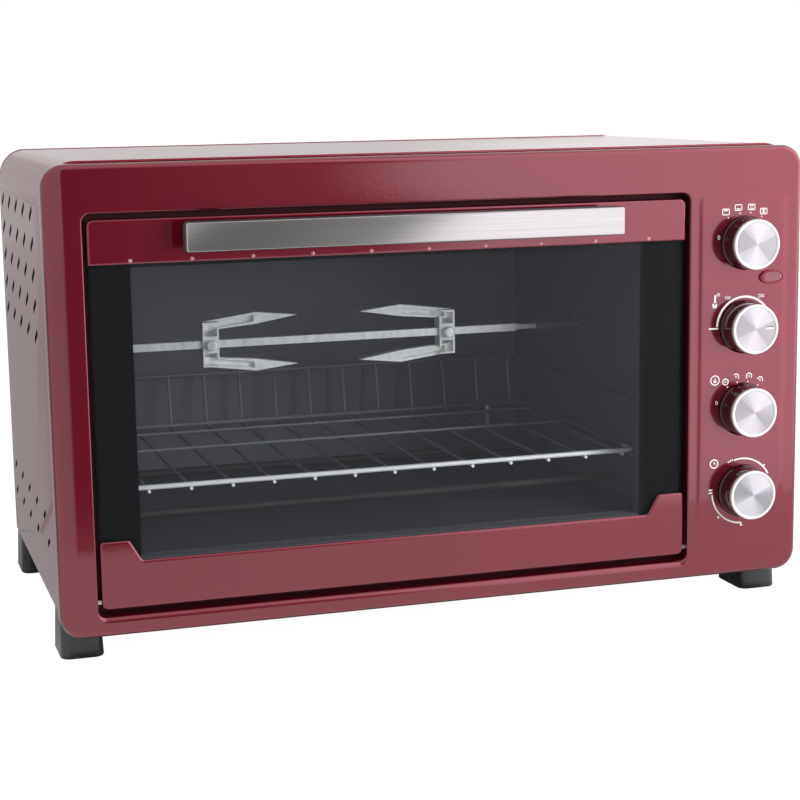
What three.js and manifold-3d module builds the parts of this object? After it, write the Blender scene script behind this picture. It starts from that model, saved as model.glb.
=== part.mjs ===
// Table-top electric oven: a red sheet-steel cabinet with a drop-down glass door, a wire rack,
// a rotisserie spit with two forks, and four control knobs beside the door.
// Millimetres. X runs to the right seen from the front, Y to the rear, Z up from the table.
// The pieces are drawn with Y = 0 on the face of the front panel, and the finished group is
// moved so that its origin lies under the middle of the whole oven.
import * as THREE from 'three';
import { mergeVertices } from 'three/addons/utils/BufferGeometryUtils.js';
import Module from 'manifold-3d';

const wasm = await Module();
wasm.setup();

// Shop sizes shared by all pieces
const sheet = 0.8;
const fit = 0.3;
const overrun = 4;
const weldDepth = 0.6;

// Front panel
const panelWidth = 600;
const panelHeight = 346;
const panelLift = 24;
const panelDepth = 16;
const panelWall = 1.5;
const panelCorner = 17;
const panelRoll = 12;
const cabinetDepth = 345;

// Door opening in the panel, by what the panel leaves round it
const openingLeft = 27;
const openingLow = 15.5;
const openingTop = 34.7;
const controlWidth = 98;
const openingCorner = 6.5;

// Raised control field on the panel
const fieldMargin = 11;
const fieldRise = 1.2;
const fieldSlope = 4;
const fieldCorner = 7;

// Casing: one sheet bent over the top and both sides
const casingSideInset = 3.8;
const casingTopInset = 1.8;
const casingLift = 33;
const casingFront = 12;
const casingCorner = 22;

// Pressed field on each side of the casing
const pressRise = 2.2;
const pressFront = 20;
const pressRearMargin = 19;
const pressTopMargin = 22;
const pressLowMargin = 5;
const pressLowerEdgeShares = [[0.085, 0.243], [0.36, 0.117], [0.915, 0], [1, 0.03]];
const pressFrontFootShare = 0.282;

// Vent slots in the sides
const ventColumns = 5;
const ventRows = 5;
const ventFirst = 89;
const ventLastMargin = 48;
const ventTop = 39;
const ventRowPitch = 23.2;
const ventLength = 22;
const ventWidth = 5.5;
const ventTilt = -27;
const lowVentRows = 2;
const lowVentRise = 45;
const lowVentRowPitch = 22.5;
const lowVentLength = 17;
const lowVentWidth = 4.5;

// Rear panel, its louvres and the cord gland
const rearVentColumns = 9;
const rearVentRows = 3;
const rearVentPitch = 40;
const rearVentRowPitch = 34;
const rearVentLength = 24;
const rearVentWidth = 4;
const rearVentDrop = 118.2;
const rearScrewRadius = 4.2;
const rearScrewHead = 2.2;
const rearScrewInset = 14;
const glandSideInset = 52;
const glandRise = 39;
const glandRadius = 8;
const glandBore = 3.6;
const glandFlange = 11;
const glandReach = 6;
const glandTail = 10;

// Feet
const footWidth = 33;
const footLength = 46;
const footTaper = 1.5;
const footCorner = 6;
const footSideInset = 1;
const footFrontInset = 31;
const footRearInset = 0;

// Cavity, by how far its walls stand inside the door opening
const cavityLeftStep = 23;
const cavityRightStep = 22;
const cavityFloorStep = 34.5;
const cavityRoofStep = 5.3;
const cavityRearGap = 18;
const cavitySkirt = 12;
const mouthFrameMargin = 10;

// Door
const doorSideGap = 3.5;
const doorEndGap = 5;
const doorDepth = 14;
const doorCorner = 5;
const topBandHeight = 32.5;
const lowBandHeight = 35.3;
const tabRise = 15.5;
const tabWidth = 22;
const tabSlope = 9;
const glassThickness = 4;
const glassTuck = 20;
const windowLeftBorder = 31;
const windowRightBorder = 37;
const pivotHeight = 4.5;
const pivotDepth = 7;
const pinRadius = 2;
const pinLength = 20;
const pinSunk = 6.5;
const bracketLength = 11;
const bracketHeight = 16;
const bracketDepth = 12;

// Door handle
const handleLength = 336;
const handleHeight = 20.5;
const handleThickness = 8;
const handleReach = 31;
const handleRound = 1.5;
const handleTopMargin = 2.5;
const postInset = 26;
const postWidth = 16;
const postHeight = 11;
const postCorner = 3;

// Knobs, their shafts and what they turn
const knobSide = 50;
const knobTopMargin = 76;
const knobPitch = 66.9;
const knobRadius = 21.5;
const knobNose = 20.2;
const knobLength = 16.5;
const knobLip = 1.6;
const capRadius = 19.8;
const capThickness = 3.4;
const capRim = 2.2;
const capDish = 0.8;
const shaftRadius = 3;
const shaftClearance = 0.6;
const knobLift = 0.6;
const shaftInKnob = 11;
const shaftInSwitch = 12;
const switchWidth = 38;
const switchHeight = 40;
const switchDepth = 28;
const thermostatRadius = 21;
const thermostatDepth = 24;
const timerRadius = 26;
const timerDepth = 36;
const bushRadius = 6;

// Indicator lamp
const lampSide = 26.8;
const lampDrop = 104;
const lampWidth = 21.5;
const lampTall = 11.5;
const lampProud = 2;
const lampDepth = 12;
const lampRound = 1.4;

// Heating rods
const rodRadius = 3.5;
const rodFrontShare = 0.25;
const rodRearShare = 0.75;
const rodUpperDrop = 14;
const rodLowerRise = 18;
const collarRadius = 7;
const collarLength = 6;
const terminalRadius = 2;
const terminalLength = 7;

// Wire rack and its guides
const rackRise = 50.5;
const rackFrontGap = 27.6;
const rackRearGap = 27;
const rackSideGap = 6;
const frameWire = 2;
const crossWire = 1.3;
const crossCount = 13;
const crossLeftMargin = 19.2;
const crossRightMargin = 10;
const crossNub = 3;
const stopHeight = 43.5;
const stopLean = 10;
const rackBarShares = [0.58, 0.867];
const guideFrontGap = 22.2;
const guideRearGap = 15;
const guideReach = 8.5;
const guideThickness = 3;
const guideLevelPitch = 45;
const guideHem = 13;

// Crumb tray
const trayFrontGap = 2.6;
const trayRearGap = 9;
const traySideGap = 4;
const trayDepth = 6;

// Rotisserie
const spitForward = 7.2;
const spitRise = 140.5;
const spitSide = 6.5;
const spitLeftGap = 12;
const spitRightGap = 63;
const spitNeckRadius = 2.2;
const spitNeckLength = 26;
const spitTaper = 6;
const journalRadius = 3;
const journalLength = 9;
const restThickness = 8;
const restWidth = 16;
const restDrop = 12;
const restLip = 5;
const cupRadius = 5.5;
const cupLength = 14;
const cupBore = 2.6;
const driveRadius = 4;
const driveFlange = 12;
const driveFlangeThickness = 4;
const motorSide = 48;
const motorThickness = 20;
const motorBoss = 9;

// Spit forks
const forkHubLength = 13.5;
const forkHubDepth = 14;
const forkHubHeight = 37;
const forkCoreHeight = 14;
const forkReachShare = 0.231;
const forkKinkShare = 0.56;
const forkSplay = 6;
const forkTipSplay = 9;
const prongWidth = 8;
const bladeWidth = 10;
const prongDepth = 7;
const forkWall = 1.6;
const leftForkShare = 0.2282;
const rightForkShare = 0.8408;
const forkScrewRadius = 2;
const forkScrewHead = 4.5;
const forkScrewHeadLength = 4;
const forkScrewStand = 2;

// Heat shield, thermostat bulb
const shieldGap = 4;
const bulbRadius = 2.5;
const bulbLength = 22;
const bulbSideGap = 30;
const bulbRise = 26;

// Faces round a turned piece
const fine = 24;
const medium = 16;
const coarse = 8;
const wireSides = 6;

// Places that follow from the sizes
const left = -panelWidth / 2;
const right = panelWidth / 2;
const panelTop = panelLift + panelHeight;
const opening = {
  x0: left + openingLeft,
  x1: right - controlWidth,
  z0: panelLift + openingLow,
  z1: panelTop - openingTop,
};
const door = {
  x0: opening.x0 + doorSideGap,
  x1: opening.x1 - doorSideGap,
  z0: opening.z0 + doorEndGap,
  z1: opening.z1 - doorEndGap,
};
const bandDepth = sheet + fit + glassThickness;
const innerFrameFront = bandDepth + fit;
const pivot = { y: pivotDepth, z: door.z0 + pivotHeight };
const windowBox = {
  x0: door.x0 + windowLeftBorder,
  x1: door.x1 - windowRightBorder,
  z0: door.z0 + lowBandHeight,
  z1: door.z1 - topBandHeight,
};
const casingSide = right - casingSideInset;
const casingTop = panelTop - casingTopInset;
const knobX = right - knobSide;
const knobHeights = [0, 1, 2, 3].map((place) => panelTop - knobTopMargin - place * knobPitch);
const mouthFront = panelDepth + fit;
const cavity = {
  x0: opening.x0 + cavityLeftStep,
  x1: opening.x1 - cavityRightStep,
  y0: mouthFront + sheet + fit,
  y1: cabinetDepth - cavityRearGap,
  z0: opening.z0 + cavityFloorStep,
  z1: opening.z1 - cavityRoofStep,
};
const cavityDepth = cavity.y1 - cavity.y0;
const rack = {
  x0: cavity.x0 + rackSideGap,
  x1: cavity.x1 - rackSideGap,
  y0: cavity.y0 + rackFrontGap,
  y1: cavity.y1 - rackRearGap,
  z: cavity.z0 + rackRise,
};
const spit = {
  x0: cavity.x0 + spitLeftGap,
  x1: cavity.x1 - spitRightGap,
  y: (cavity.y0 + cavity.y1) / 2 - spitForward,
  z: cavity.z0 + spitRise,
};

// Paints and metals
const finishes = {
  redEnamel: new THREE.MeshStandardMaterial({ color: 0x6e141c, roughness: 0.22, metalness: 0.15 }),
  redPlastic: new THREE.MeshStandardMaterial({ color: 0x5c1119, roughness: 0.2, metalness: 0 }),
  blackPlastic: new THREE.MeshStandardMaterial({ color: 0x1b1d1f, roughness: 0.5, metalness: 0 }),
  blackGlass: new THREE.MeshStandardMaterial({ color: 0x16191a, roughness: 0.05, metalness: 0 }),
  brushedSteel: new THREE.MeshStandardMaterial({ color: 0xa9a6a3, roughness: 0.35, metalness: 1 }),
  spunAluminium: new THREE.MeshStandardMaterial({ color: 0xd9d9da, roughness: 0.28, metalness: 1 }),
  chromeWire: new THREE.MeshStandardMaterial({ color: 0xcfd2d4, roughness: 0.12, metalness: 1 }),
  cavityCoat: new THREE.MeshStandardMaterial({ color: 0x33363a, roughness: 0.5, metalness: 0.3 }),
  galvanised: new THREE.MeshStandardMaterial({ color: 0x9ea2a4, roughness: 0.45, metalness: 0.9 }),
  heaterSheath: new THREE.MeshStandardMaterial({ color: 0x3a3735, roughness: 0.6, metalness: 0.5 }),
  redLens: new THREE.MeshStandardMaterial({ color: 0xa01018, roughness: 0.1, metalness: 0 }),
};

// Turns a closed geometry into a solid that can be joined and cut.
function solidOf(geometry) {
  const bare = geometry.clone();
  bare.deleteAttribute('normal');
  bare.deleteAttribute('uv');
  const merged = mergeVertices(bare);
  const corners = merged.index.array;
  const faces = [];
  for (let i = 0; i < corners.length; i += 3) {
    const [a, b, c] = corners.slice(i, i + 3);
    if (a !== b && b !== c && c !== a) faces.push(a, b, c);
  }
  return new wasm.Manifold(new wasm.Mesh({
    numProp: 3,
    vertProperties: new Float32Array(merged.attributes.position.array),
    triVerts: new Uint32Array(faces),
  }));
}

function geometryOf(solid) {
  const mesh = solid.getMesh();
  const geometry = new THREE.BufferGeometry();
  geometry.setAttribute('position', new THREE.BufferAttribute(mesh.vertProperties, 3));
  geometry.setIndex(new THREE.BufferAttribute(mesh.triVerts, 1));
  return geometry;
}

const join = (...geometries) => geometries.map(solidOf).reduce((sum, next) => sum.add(next));

function block([x0, x1], [y0, y1], [z0, z1]) {
  const geometry = new THREE.BoxGeometry(x1 - x0, y1 - y0, z1 - z0);
  return geometry.translate((x0 + x1) / 2, (y0 + y1) / 2, (z0 + z1) / 2);
}

function roundedOutline(x0, z0, x1, z1, radius, Outline = THREE.Shape) {
  const outline = new Outline();
  outline.absarc(x1 - radius, z0 + radius, radius, -Math.PI / 2, 0, false);
  outline.absarc(x1 - radius, z1 - radius, radius, 0, Math.PI / 2, false);
  outline.absarc(x0 + radius, z1 - radius, radius, Math.PI / 2, Math.PI, false);
  outline.absarc(x0 + radius, z0 + radius, radius, Math.PI, Math.PI * 1.5, false);
  outline.closePath();
  return outline;
}

const outlineFrom = (points) => new THREE.Shape(points.map(([u, v]) => new THREE.Vector2(u, v)));

// Thickens a front-view outline (x, z) from y0 back to y1.
function plate(outline, y0, y1, options = {}) {
  const bevel = options.bevelThickness ?? 0;
  const depth = y1 - y0 - bevel - bevel;
  const settings = { depth, bevelEnabled: bevel > 0, curveSegments: 4, ...options };
  const geometry = new THREE.ExtrudeGeometry(outline, settings);
  return geometry.rotateX(Math.PI / 2).translate(0, y1 - bevel, 0);
}

// Thickens a side-view outline (y, z) from x0 across to x1.
const sideways = new THREE.Matrix4().makeBasis(
  new THREE.Vector3(0, 1, 0),
  new THREE.Vector3(0, 0, 1),
  new THREE.Vector3(1, 0, 0),
);
function sidePlate(outline, x0, x1, options = {}) {
  const bevel = options.bevelThickness ?? 0;
  const depth = x1 - x0 - bevel - bevel;
  const settings = { depth, bevelEnabled: bevel > 0, curveSegments: 3, ...options };
  const geometry = new THREE.ExtrudeGeometry(outline, settings);
  return geometry.translate(0, 0, x0 + bevel).applyMatrix4(sideways);
}

// Turns a profile of [radius, place] points round the Y axis, or round X.
function turned(profile, sides) {
  return new THREE.LatheGeometry(profile.map(([r, t]) => new THREE.Vector2(r, t)), sides);
}
const turnedAlongX = (profile, sides) => turned(profile, sides).rotateZ(-Math.PI / 2);

function rod(from, to, radius, sides) {
  const start = new THREE.Vector3(...from);
  const run = new THREE.Vector3(...to).sub(start);
  const geometry = new THREE.CylinderGeometry(radius, radius, run.length(), sides);
  geometry.translate(0, run.length() / 2, 0);
  const turn = new THREE.Quaternion().setFromUnitVectors(new THREE.Vector3(0, 1, 0), run.normalize());
  return geometry.applyQuaternion(turn).translate(start.x, start.y, start.z);
}

function piece(name, shape, material, place = [0, 0, 0]) {
  const geometry = shape.isBufferGeometry ? shape : geometryOf(shape);
  const mesh = new THREE.Mesh(geometry, material.clone());
  mesh.name = name;
  mesh.position.set(...place);
  return mesh;
}

function groupOf(...members) {
  const group = new THREE.Group();
  group.add(...members.flat());
  return group;
}

// Cuts the hole of each hinge pin through the edge of the door and the panel's flange.
const pinTools = () => [[door.x0, -1], [door.x1, 1]].map(([edge, outward]) => solidOf(rod(
  [edge - outward * (pinSunk + fit), pivot.y, pivot.z],
  [edge + outward * (doorSideGap + panelWall + overrun), pivot.y, pivot.z],
  pinRadius + fit,
  coarse,
)));

// Front panel: a pressed bezel with a rolled outer edge and a return flange round the door.
function frontPanel() {
  const rolled = (inset) => plate(
    roundedOutline(left + inset, panelLift + inset, right - inset, panelTop - inset, panelCorner - inset),
    inset,
    panelDepth + panelRoll + panelRoll,
    {
      bevelThickness: panelRoll - inset,
      bevelSize: panelRoll - inset,
      bevelOffset: inset - panelRoll,
      bevelSegments: 3,
    },
  );
  const openingTool = (grow) => plate(
    roundedOutline(
      opening.x0 - grow,
      opening.z0 - grow,
      opening.x1 + grow,
      opening.z1 + grow,
      openingCorner + grow,
    ),
    -overrun,
    panelDepth + overrun,
  );
  const behind = block(
    [left - overrun, right + overrun],
    [panelDepth, panelDepth + panelRoll + panelRoll + overrun],
    [panelLift - overrun, panelTop + overrun],
  );
  const hollow = solidOf(rolled(panelWall)).subtract(solidOf(openingTool(panelWall)));
  const control = plate(
    roundedOutline(
      opening.x1 + panelWall + fieldSlope,
      panelLift + openingLow,
      right - fieldMargin,
      opening.z1,
      fieldCorner,
    ),
    -fieldRise,
    panelWall + fieldRise,
    { bevelThickness: fieldRise, bevelSize: fieldSlope, bevelOffset: -fieldSlope, bevelSegments: 1 },
  );
  const frontHalf = block(
    [left, right],
    [-overrun, panelWall],
    [panelLift, panelTop],
  );
  const inside = solidOf(rolled(0)).subtract(hollow).subtract(solidOf(behind));
  const panel = inside.add(solidOf(control).intersect(solidOf(frontHalf)));
  const shaftHoles = knobHeights.map((z) => rod(
    [knobX, -overrun, z],
    [knobX, panelDepth, z],
    shaftRadius + shaftClearance,
    medium,
  ));
  const cuts = [openingTool(0), lampOutlineTool(fit), ...shaftHoles].map(solidOf);
  return [...cuts, ...pinTools()].reduce((body, tool) => body.subtract(tool), panel);
}

// Outer casing: top and sides in one bent sheet, with pressed side fields and vent slots.
function slotOutline(length, width, y, z, tilt) {
  const reach = (length - width) / 2;
  const end = width / 2;
  const turn = THREE.MathUtils.degToRad(tilt);
  const corners = [-1, 1].flatMap((side) => [-60, 0, 60].map((angle) => {
    const bend = THREE.MathUtils.degToRad(angle) + (side < 0 ? Math.PI : 0);
    return [side * reach + end * Math.cos(bend), end * Math.sin(bend)];
  }));
  return outlineFrom(corners.map(([u, v]) => [
    y + u * Math.cos(turn) - v * Math.sin(turn),
    z + u * Math.sin(turn) + v * Math.cos(turn),
  ]));
}

function pressOutline() {
  const y0 = pressFront;
  const y1 = cabinetDepth - pressRearMargin;
  const z0 = casingLift + pressLowMargin;
  const z1 = casingTop - pressTopMargin;
  const lower = pressLowerEdgeShares.map(([u, v]) => [y0 + u * (y1 - y0), z0 + v * (z1 - z0)]);
  return outlineFrom([[y0, z1], [y0, z0 + pressFrontFootShare * (z1 - z0)], ...lower, [y1, z1]]);
}

function outerCasing() {
  const bent = (inset, y0, y1) => {
    const side = casingSide - inset;
    const top = casingTop - inset;
    const corner = casingCorner - inset;
    const low = inset > 0 ? casingLift - overrun : casingLift;
    const outline = new THREE.Shape();
    outline.moveTo(-side, low);
    outline.lineTo(side, low);
    outline.absarc(side - corner, top - corner, corner, 0, Math.PI / 2, false);
    outline.absarc(corner - side, top - corner, corner, Math.PI / 2, Math.PI, false);
    outline.closePath();
    return plate(outline, y0, y1);
  };
  const pressed = (inset) => sidePlate(
    pressOutline(),
    inset - casingSide - pressRise,
    casingSide + pressRise - inset,
    { bevelThickness: pressRise, bevelSize: pressRise, bevelOffset: -pressRise - inset, bevelSegments: 1 },
  );
  const skin = solidOf(bent(0, casingFront, cabinetDepth)).add(solidOf(pressed(0)));
  const room = solidOf(bent(sheet, casingFront - overrun, cabinetDepth + overrun))
    .add(solidOf(pressed(sheet)));
  let casing = skin.subtract(room);
  const cut = (length, width, y, z) => {
    const slot = slotOutline(length, width, y, z, ventTilt);
    casing = casing.subtract(solidOf(sidePlate(slot, left - overrun, right + overrun)));
  };
  const ventColumnPitch = (cabinetDepth - ventLastMargin - ventFirst) / (ventColumns - 1);
  for (let column = 0; column < ventColumns; column += 1) {
    const y = ventFirst + column * ventColumnPitch;
    for (let row = 0; row < ventRows; row += 1) {
      cut(ventLength, ventWidth, y, panelTop - ventTop - row * ventRowPitch);
    }
    for (let row = 0; row < lowVentRows; row += 1) {
      cut(lowVentLength, lowVentWidth, y, casingLift + lowVentRise + row * lowVentRowPitch);
    }
  }
  return casing;
}

// Rear panel with louvre slots, screw heads round its edge and a hole for the cord gland.
const gland = { x: right - glandSideInset, z: casingLift + glandRise };

function rearPanel() {
  const side = casingSide - sheet - fit;
  const top = casingTop - sheet - fit;
  const low = casingLift + sheet + fit;
  const outline = roundedOutline(-side, low, side, top, casingCorner - sheet - fit);
  let panel = solidOf(plate(outline, cabinetDepth - sheet, cabinetDepth));
  const head = (x, z) => rod(
    [x, cabinetDepth - weldDepth, z],
    [x, cabinetDepth + rearScrewHead, z],
    rearScrewRadius,
    coarse,
  );
  for (const x of [rearScrewInset - side, 0, side - rearScrewInset]) {
    panel = panel.add(solidOf(head(x, low + rearScrewInset)));
    panel = panel.add(solidOf(head(x, top - rearScrewInset)));
  }
  for (let column = 0; column < rearVentColumns; column += 1) {
    for (let row = 0; row < rearVentRows; row += 1) {
      const x = (column - (rearVentColumns - 1) / 2) * rearVentPitch;
      const z = casingTop - rearVentDrop + row * rearVentRowPitch;
      const slot = block(
        [x - rearVentWidth / 2, x + rearVentWidth / 2],
        [cabinetDepth - overrun, cabinetDepth + overrun],
        [z - rearVentLength / 2, z + rearVentLength / 2],
      );
      panel = panel.subtract(solidOf(slot));
    }
  }
  const glandHole = rod(
    [gland.x, cabinetDepth - overrun, gland.z],
    [gland.x, cabinetDepth + overrun, gland.z],
    glandRadius + fit,
    medium,
  );
  return panel.subtract(solidOf(glandHole));
}

// Cord gland: a flanged bush through the rear panel, with the bore that the mains lead takes.
function cordGland() {
  const back = cabinetDepth + glandReach;
  const front = cabinetDepth - sheet - glandTail;
  const waist = cabinetDepth + fit;
  return turned([
    [glandBore, front],
    [glandRadius, front],
    [glandRadius, waist],
    [glandFlange, waist],
    [glandFlange, (waist + back) / 2],
    [glandRadius, back],
    [glandBore, back],
    [glandBore, front],
  ], medium);
}

function basePlate() {
  const side = casingSide - sheet - fit;
  return block(
    [-side, side],
    [mouthFront + sheet + fit, cabinetDepth - sheet - fit],
    [casingLift, casingLift + sheet],
  );
}

// Foot: a moulded block, a little wider at the table than at the cabinet.
function foot() {
  const halfWidth = footWidth / 2;
  const halfLength = footLength / 2;
  const outline = roundedOutline(-halfWidth, -halfLength, halfWidth, halfLength, footCorner);
  const settings = { depth: casingLift, bevelEnabled: false, curveSegments: 3 };
  const geometry = new THREE.ExtrudeGeometry(outline, settings);
  const corners = geometry.attributes.position;
  for (let i = 0; i < corners.count; i += 1) {
    if (corners.getZ(i) > 0) {
      corners.setX(i, corners.getX(i) * (1 - footTaper / halfWidth));
      corners.setY(i, corners.getY(i) * (1 - footTaper / halfLength));
    }
  }
  return geometry;
}

// Frame that closes the space between the door opening and the cavity.
function mouthFrame() {
  const grow = panelWall + mouthFrameMargin;
  const outline = outlineFrom([
    [opening.x0 - grow, casingLift + sheet + fit],
    [opening.x1 + panelWall, casingLift + sheet + fit],
    [opening.x1 + panelWall, opening.z1 + grow],
    [opening.x0 - grow, opening.z1 + grow],
  ]);
  outline.holes.push(outlineFrom([
    [cavity.x0, cavity.z0],
    [cavity.x1, cavity.z0],
    [cavity.x1, cavity.z1],
    [cavity.x0, cavity.z1],
  ]));
  return plate(outline, mouthFront, mouthFront + sheet);
}

// Heating rods run between the side walls; each wall has a hole for every rod.
const rodFront = cavity.y0 + rodFrontShare * cavityDepth;
const rodRear = cavity.y0 + rodRearShare * cavityDepth;
const rodPlaces = [
  ['upper_element_front', rodFront, cavity.z1 - rodUpperDrop],
  ['upper_element_rear', rodRear, cavity.z1 - rodUpperDrop],
  ['lower_element_front', rodFront, cavity.z0 + rodLowerRise],
  ['lower_element_rear', rodRear, cavity.z0 + rodLowerRise],
];

function heatingRod() {
  const wallLeft = cavity.x0 - sheet - fit;
  const wallRight = cavity.x1 + sheet + fit;
  return turnedAlongX([
    [0, wallLeft - collarLength - terminalLength],
    [terminalRadius, wallLeft - collarLength - terminalLength],
    [terminalRadius, wallLeft - collarLength],
    [collarRadius, wallLeft - collarLength],
    [collarRadius, wallLeft],
    [rodRadius, wallLeft],
    [rodRadius, wallRight],
    [collarRadius, wallRight],
    [collarRadius, wallRight + collarLength],
    [terminalRadius, wallRight + collarLength],
    [terminalRadius, wallRight + collarLength + terminalLength],
    [0, wallRight + collarLength + terminalLength],
  ], coarse);
}

// Cavity shell: two side walls and the roof in one bent sheet.
function cavityShell() {
  const outer = block(
    [cavity.x0 - sheet, cavity.x1 + sheet],
    [cavity.y0, cavity.y1 + sheet],
    [cavity.z0 - cavitySkirt, cavity.z1 + sheet],
  );
  const room = block(
    [cavity.x0, cavity.x1],
    [cavity.y0 - overrun, cavity.y1 + overrun],
    [cavity.z0 - cavitySkirt - overrun, cavity.z1],
  );
  const rodHoles = rodPlaces.map(([, y, z]) => rod(
    [cavity.x0 - overrun, y, z],
    [cavity.x1 + overrun, y, z],
    rodRadius + fit,
    coarse,
  ));
  const driveHole = rod(
    [spit.x1, spit.y, spit.z],
    [cavity.x1 + overrun, spit.y, spit.z],
    driveRadius + fit,
    medium,
  );
  return [room, driveHole, ...rodHoles]
    .reduce((shell, tool) => shell.subtract(solidOf(tool)), solidOf(outer));
}

function cavityRearWall() {
  return block(
    [cavity.x0 + fit, cavity.x1 - fit],
    [cavity.y1, cavity.y1 + sheet],
    [cavity.z0 - cavitySkirt, cavity.z1 - fit],
  );
}

function cavityFloorPan() {
  return block(
    [cavity.x0 + fit, cavity.x1 - fit],
    [cavity.y0, cavity.y1 - fit],
    [cavity.z0 - sheet, cavity.z0],
  );
}

function heatShield() {
  const x0 = opening.x1 + shieldGap;
  return block(
    [x0, x0 + sheet],
    [panelDepth + fit, cabinetDepth - sheet - fit],
    [casingLift + sheet + fit, casingTop - sheet - fit],
  );
}

// Rack guide: a strip on the cavity wall with two ledges that the rack can slide on.
function rackGuide(wall, inward) {
  const back = wall + inward * fit;
  const face = back + inward * sheet;
  const nose = face + inward * guideReach;
  const level = rack.z - frameWire - fit;
  const low = level - guideHem;
  const high = level + guideLevelPitch + guideHem;
  const points = [[back, low], [face, low]];
  for (const top of [level, level + guideLevelPitch]) {
    points.push([face, top - guideThickness], [nose, top - guideThickness], [nose, top], [face, top]);
  }
  points.push([face, high], [back, high]);
  return plate(outlineFrom(points), cavity.y0 + guideFrontGap, cavity.y1 - guideRearGap);
}

// Wire rack: a welded grid whose wires turn up at the back to stop the food.
function wireRack() {
  const crossHeight = rack.z - frameWire - crossWire + weldDepth;
  const stopTop = rack.z + stopHeight;
  const stopRear = rack.y1 + stopLean;
  const frameRod = (x0, y0, x1, y1) => rod([x0, y0, rack.z], [x1, y1, rack.z], frameWire, coarse);
  const frame = [
    frameRod(rack.x0 - frameWire, rack.y0, rack.x1 + frameWire, rack.y0),
    frameRod(rack.x0 - frameWire, rack.y1, rack.x1 + frameWire, rack.y1),
    frameRod(rack.x0, rack.y0, rack.x0, rack.y1),
    frameRod(rack.x1, rack.y0, rack.x1, rack.y1),
  ];
  const wire = (from, to) => rod(from, to, crossWire, wireSides);
  const crossLeft = rack.x0 + crossLeftMargin;
  const crossRight = rack.x1 - crossRightMargin;
  const cross = [...Array(crossCount).keys()].flatMap((index) => {
    const x = crossLeft + (crossRight - crossLeft) * (index / (crossCount - 1));
    return [
      wire([x, rack.y0 - crossNub, crossHeight], [x, rack.y1 + crossWire, crossHeight]),
      wire([x, rack.y1, crossHeight - crossWire], [x, stopRear, stopTop + crossWire]),
    ];
  });
  const barHeight = crossHeight + crossWire + crossWire - weldDepth;
  const bars = rackBarShares.map((share) => {
    const y = rack.y0 + share * (rack.y1 - rack.y0);
    return wire([rack.x0, y, barHeight], [rack.x1, y, barHeight]);
  });
  const stop = rod(
    [crossLeft - crossNub, stopRear - crossWire, stopTop],
    [crossRight + crossNub, stopRear - crossWire, stopTop],
    crossWire + weldDepth,
    wireSides,
  );
  return join(...frame, ...cross, ...bars, stop);
}

function crumbTray() {
  const x0 = cavity.x0 + traySideGap;
  const x1 = cavity.x1 - traySideGap;
  const y0 = cavity.y0 + trayFrontGap;
  const y1 = cavity.y1 - trayRearGap;
  const z0 = cavity.z0 + fit;
  const pan = block([x0, x1], [y0, y1], [z0, z0 + trayDepth]);
  const room = block(
    [x0 + sheet, x1 - sheet],
    [y0 + sheet, y1 - sheet],
    [z0 + sheet, z0 + trayDepth + overrun],
  );
  return solidOf(pan).subtract(solidOf(room));
}

// Door bands: pressed strips across the top and bottom that wrap the edge of the glass.
function bandShell(outline, innerOutline) {
  const front = solidOf(plate(outline, 0, bandDepth));
  return front.subtract(solidOf(plate(innerOutline, sheet, bandDepth + overrun)));
}

function topBand() {
  const z0 = door.z1 - topBandHeight;
  const outline = (inset) => {
    const shape = new THREE.Shape();
    shape.moveTo(door.x0 + inset, z0 - (inset > 0 ? overrun : 0));
    shape.lineTo(door.x1 - inset, z0 - (inset > 0 ? overrun : 0));
    const corner = doorCorner - inset;
    shape.absarc(door.x1 - doorCorner, door.z1 - doorCorner, corner, 0, Math.PI / 2, false);
    shape.absarc(door.x0 + doorCorner, door.z1 - doorCorner, corner, Math.PI / 2, Math.PI, false);
    shape.closePath();
    return shape;
  };
  return bandShell(outline(0), outline(sheet));
}

function lowBand() {
  const top = door.z0 + lowBandHeight;
  const outline = (inset) => {
    const rise = inset > 0 ? overrun : 0;
    const shape = new THREE.Shape();
    const corner = doorCorner - inset;
    shape.absarc(door.x0 + doorCorner, door.z0 + doorCorner, corner, Math.PI, Math.PI * 1.5, false);
    shape.absarc(door.x1 - doorCorner, door.z0 + doorCorner, corner, -Math.PI / 2, 0, false);
    shape.lineTo(door.x1 - inset, top + tabRise + rise);
    shape.lineTo(door.x1 - tabWidth, top + tabRise + rise);
    shape.lineTo(door.x1 - tabWidth - tabSlope, top + rise);
    shape.lineTo(door.x0 + tabWidth + tabSlope, top + rise);
    shape.lineTo(door.x0 + tabWidth, top + tabRise + rise);
    shape.lineTo(door.x0 + inset, top + tabRise + rise);
    shape.closePath();
    return shape;
  };
  return pinTools().reduce((band, tool) => band.subtract(tool), bandShell(outline(0), outline(sheet)));
}

function doorGlass() {
  const edge = sheet + fit;
  return block(
    [door.x0 + edge, door.x1 - edge],
    [sheet + fit, sheet + fit + glassThickness],
    [windowBox.z0 - glassTuck, windowBox.z1 + glassTuck],
  );
}

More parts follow.
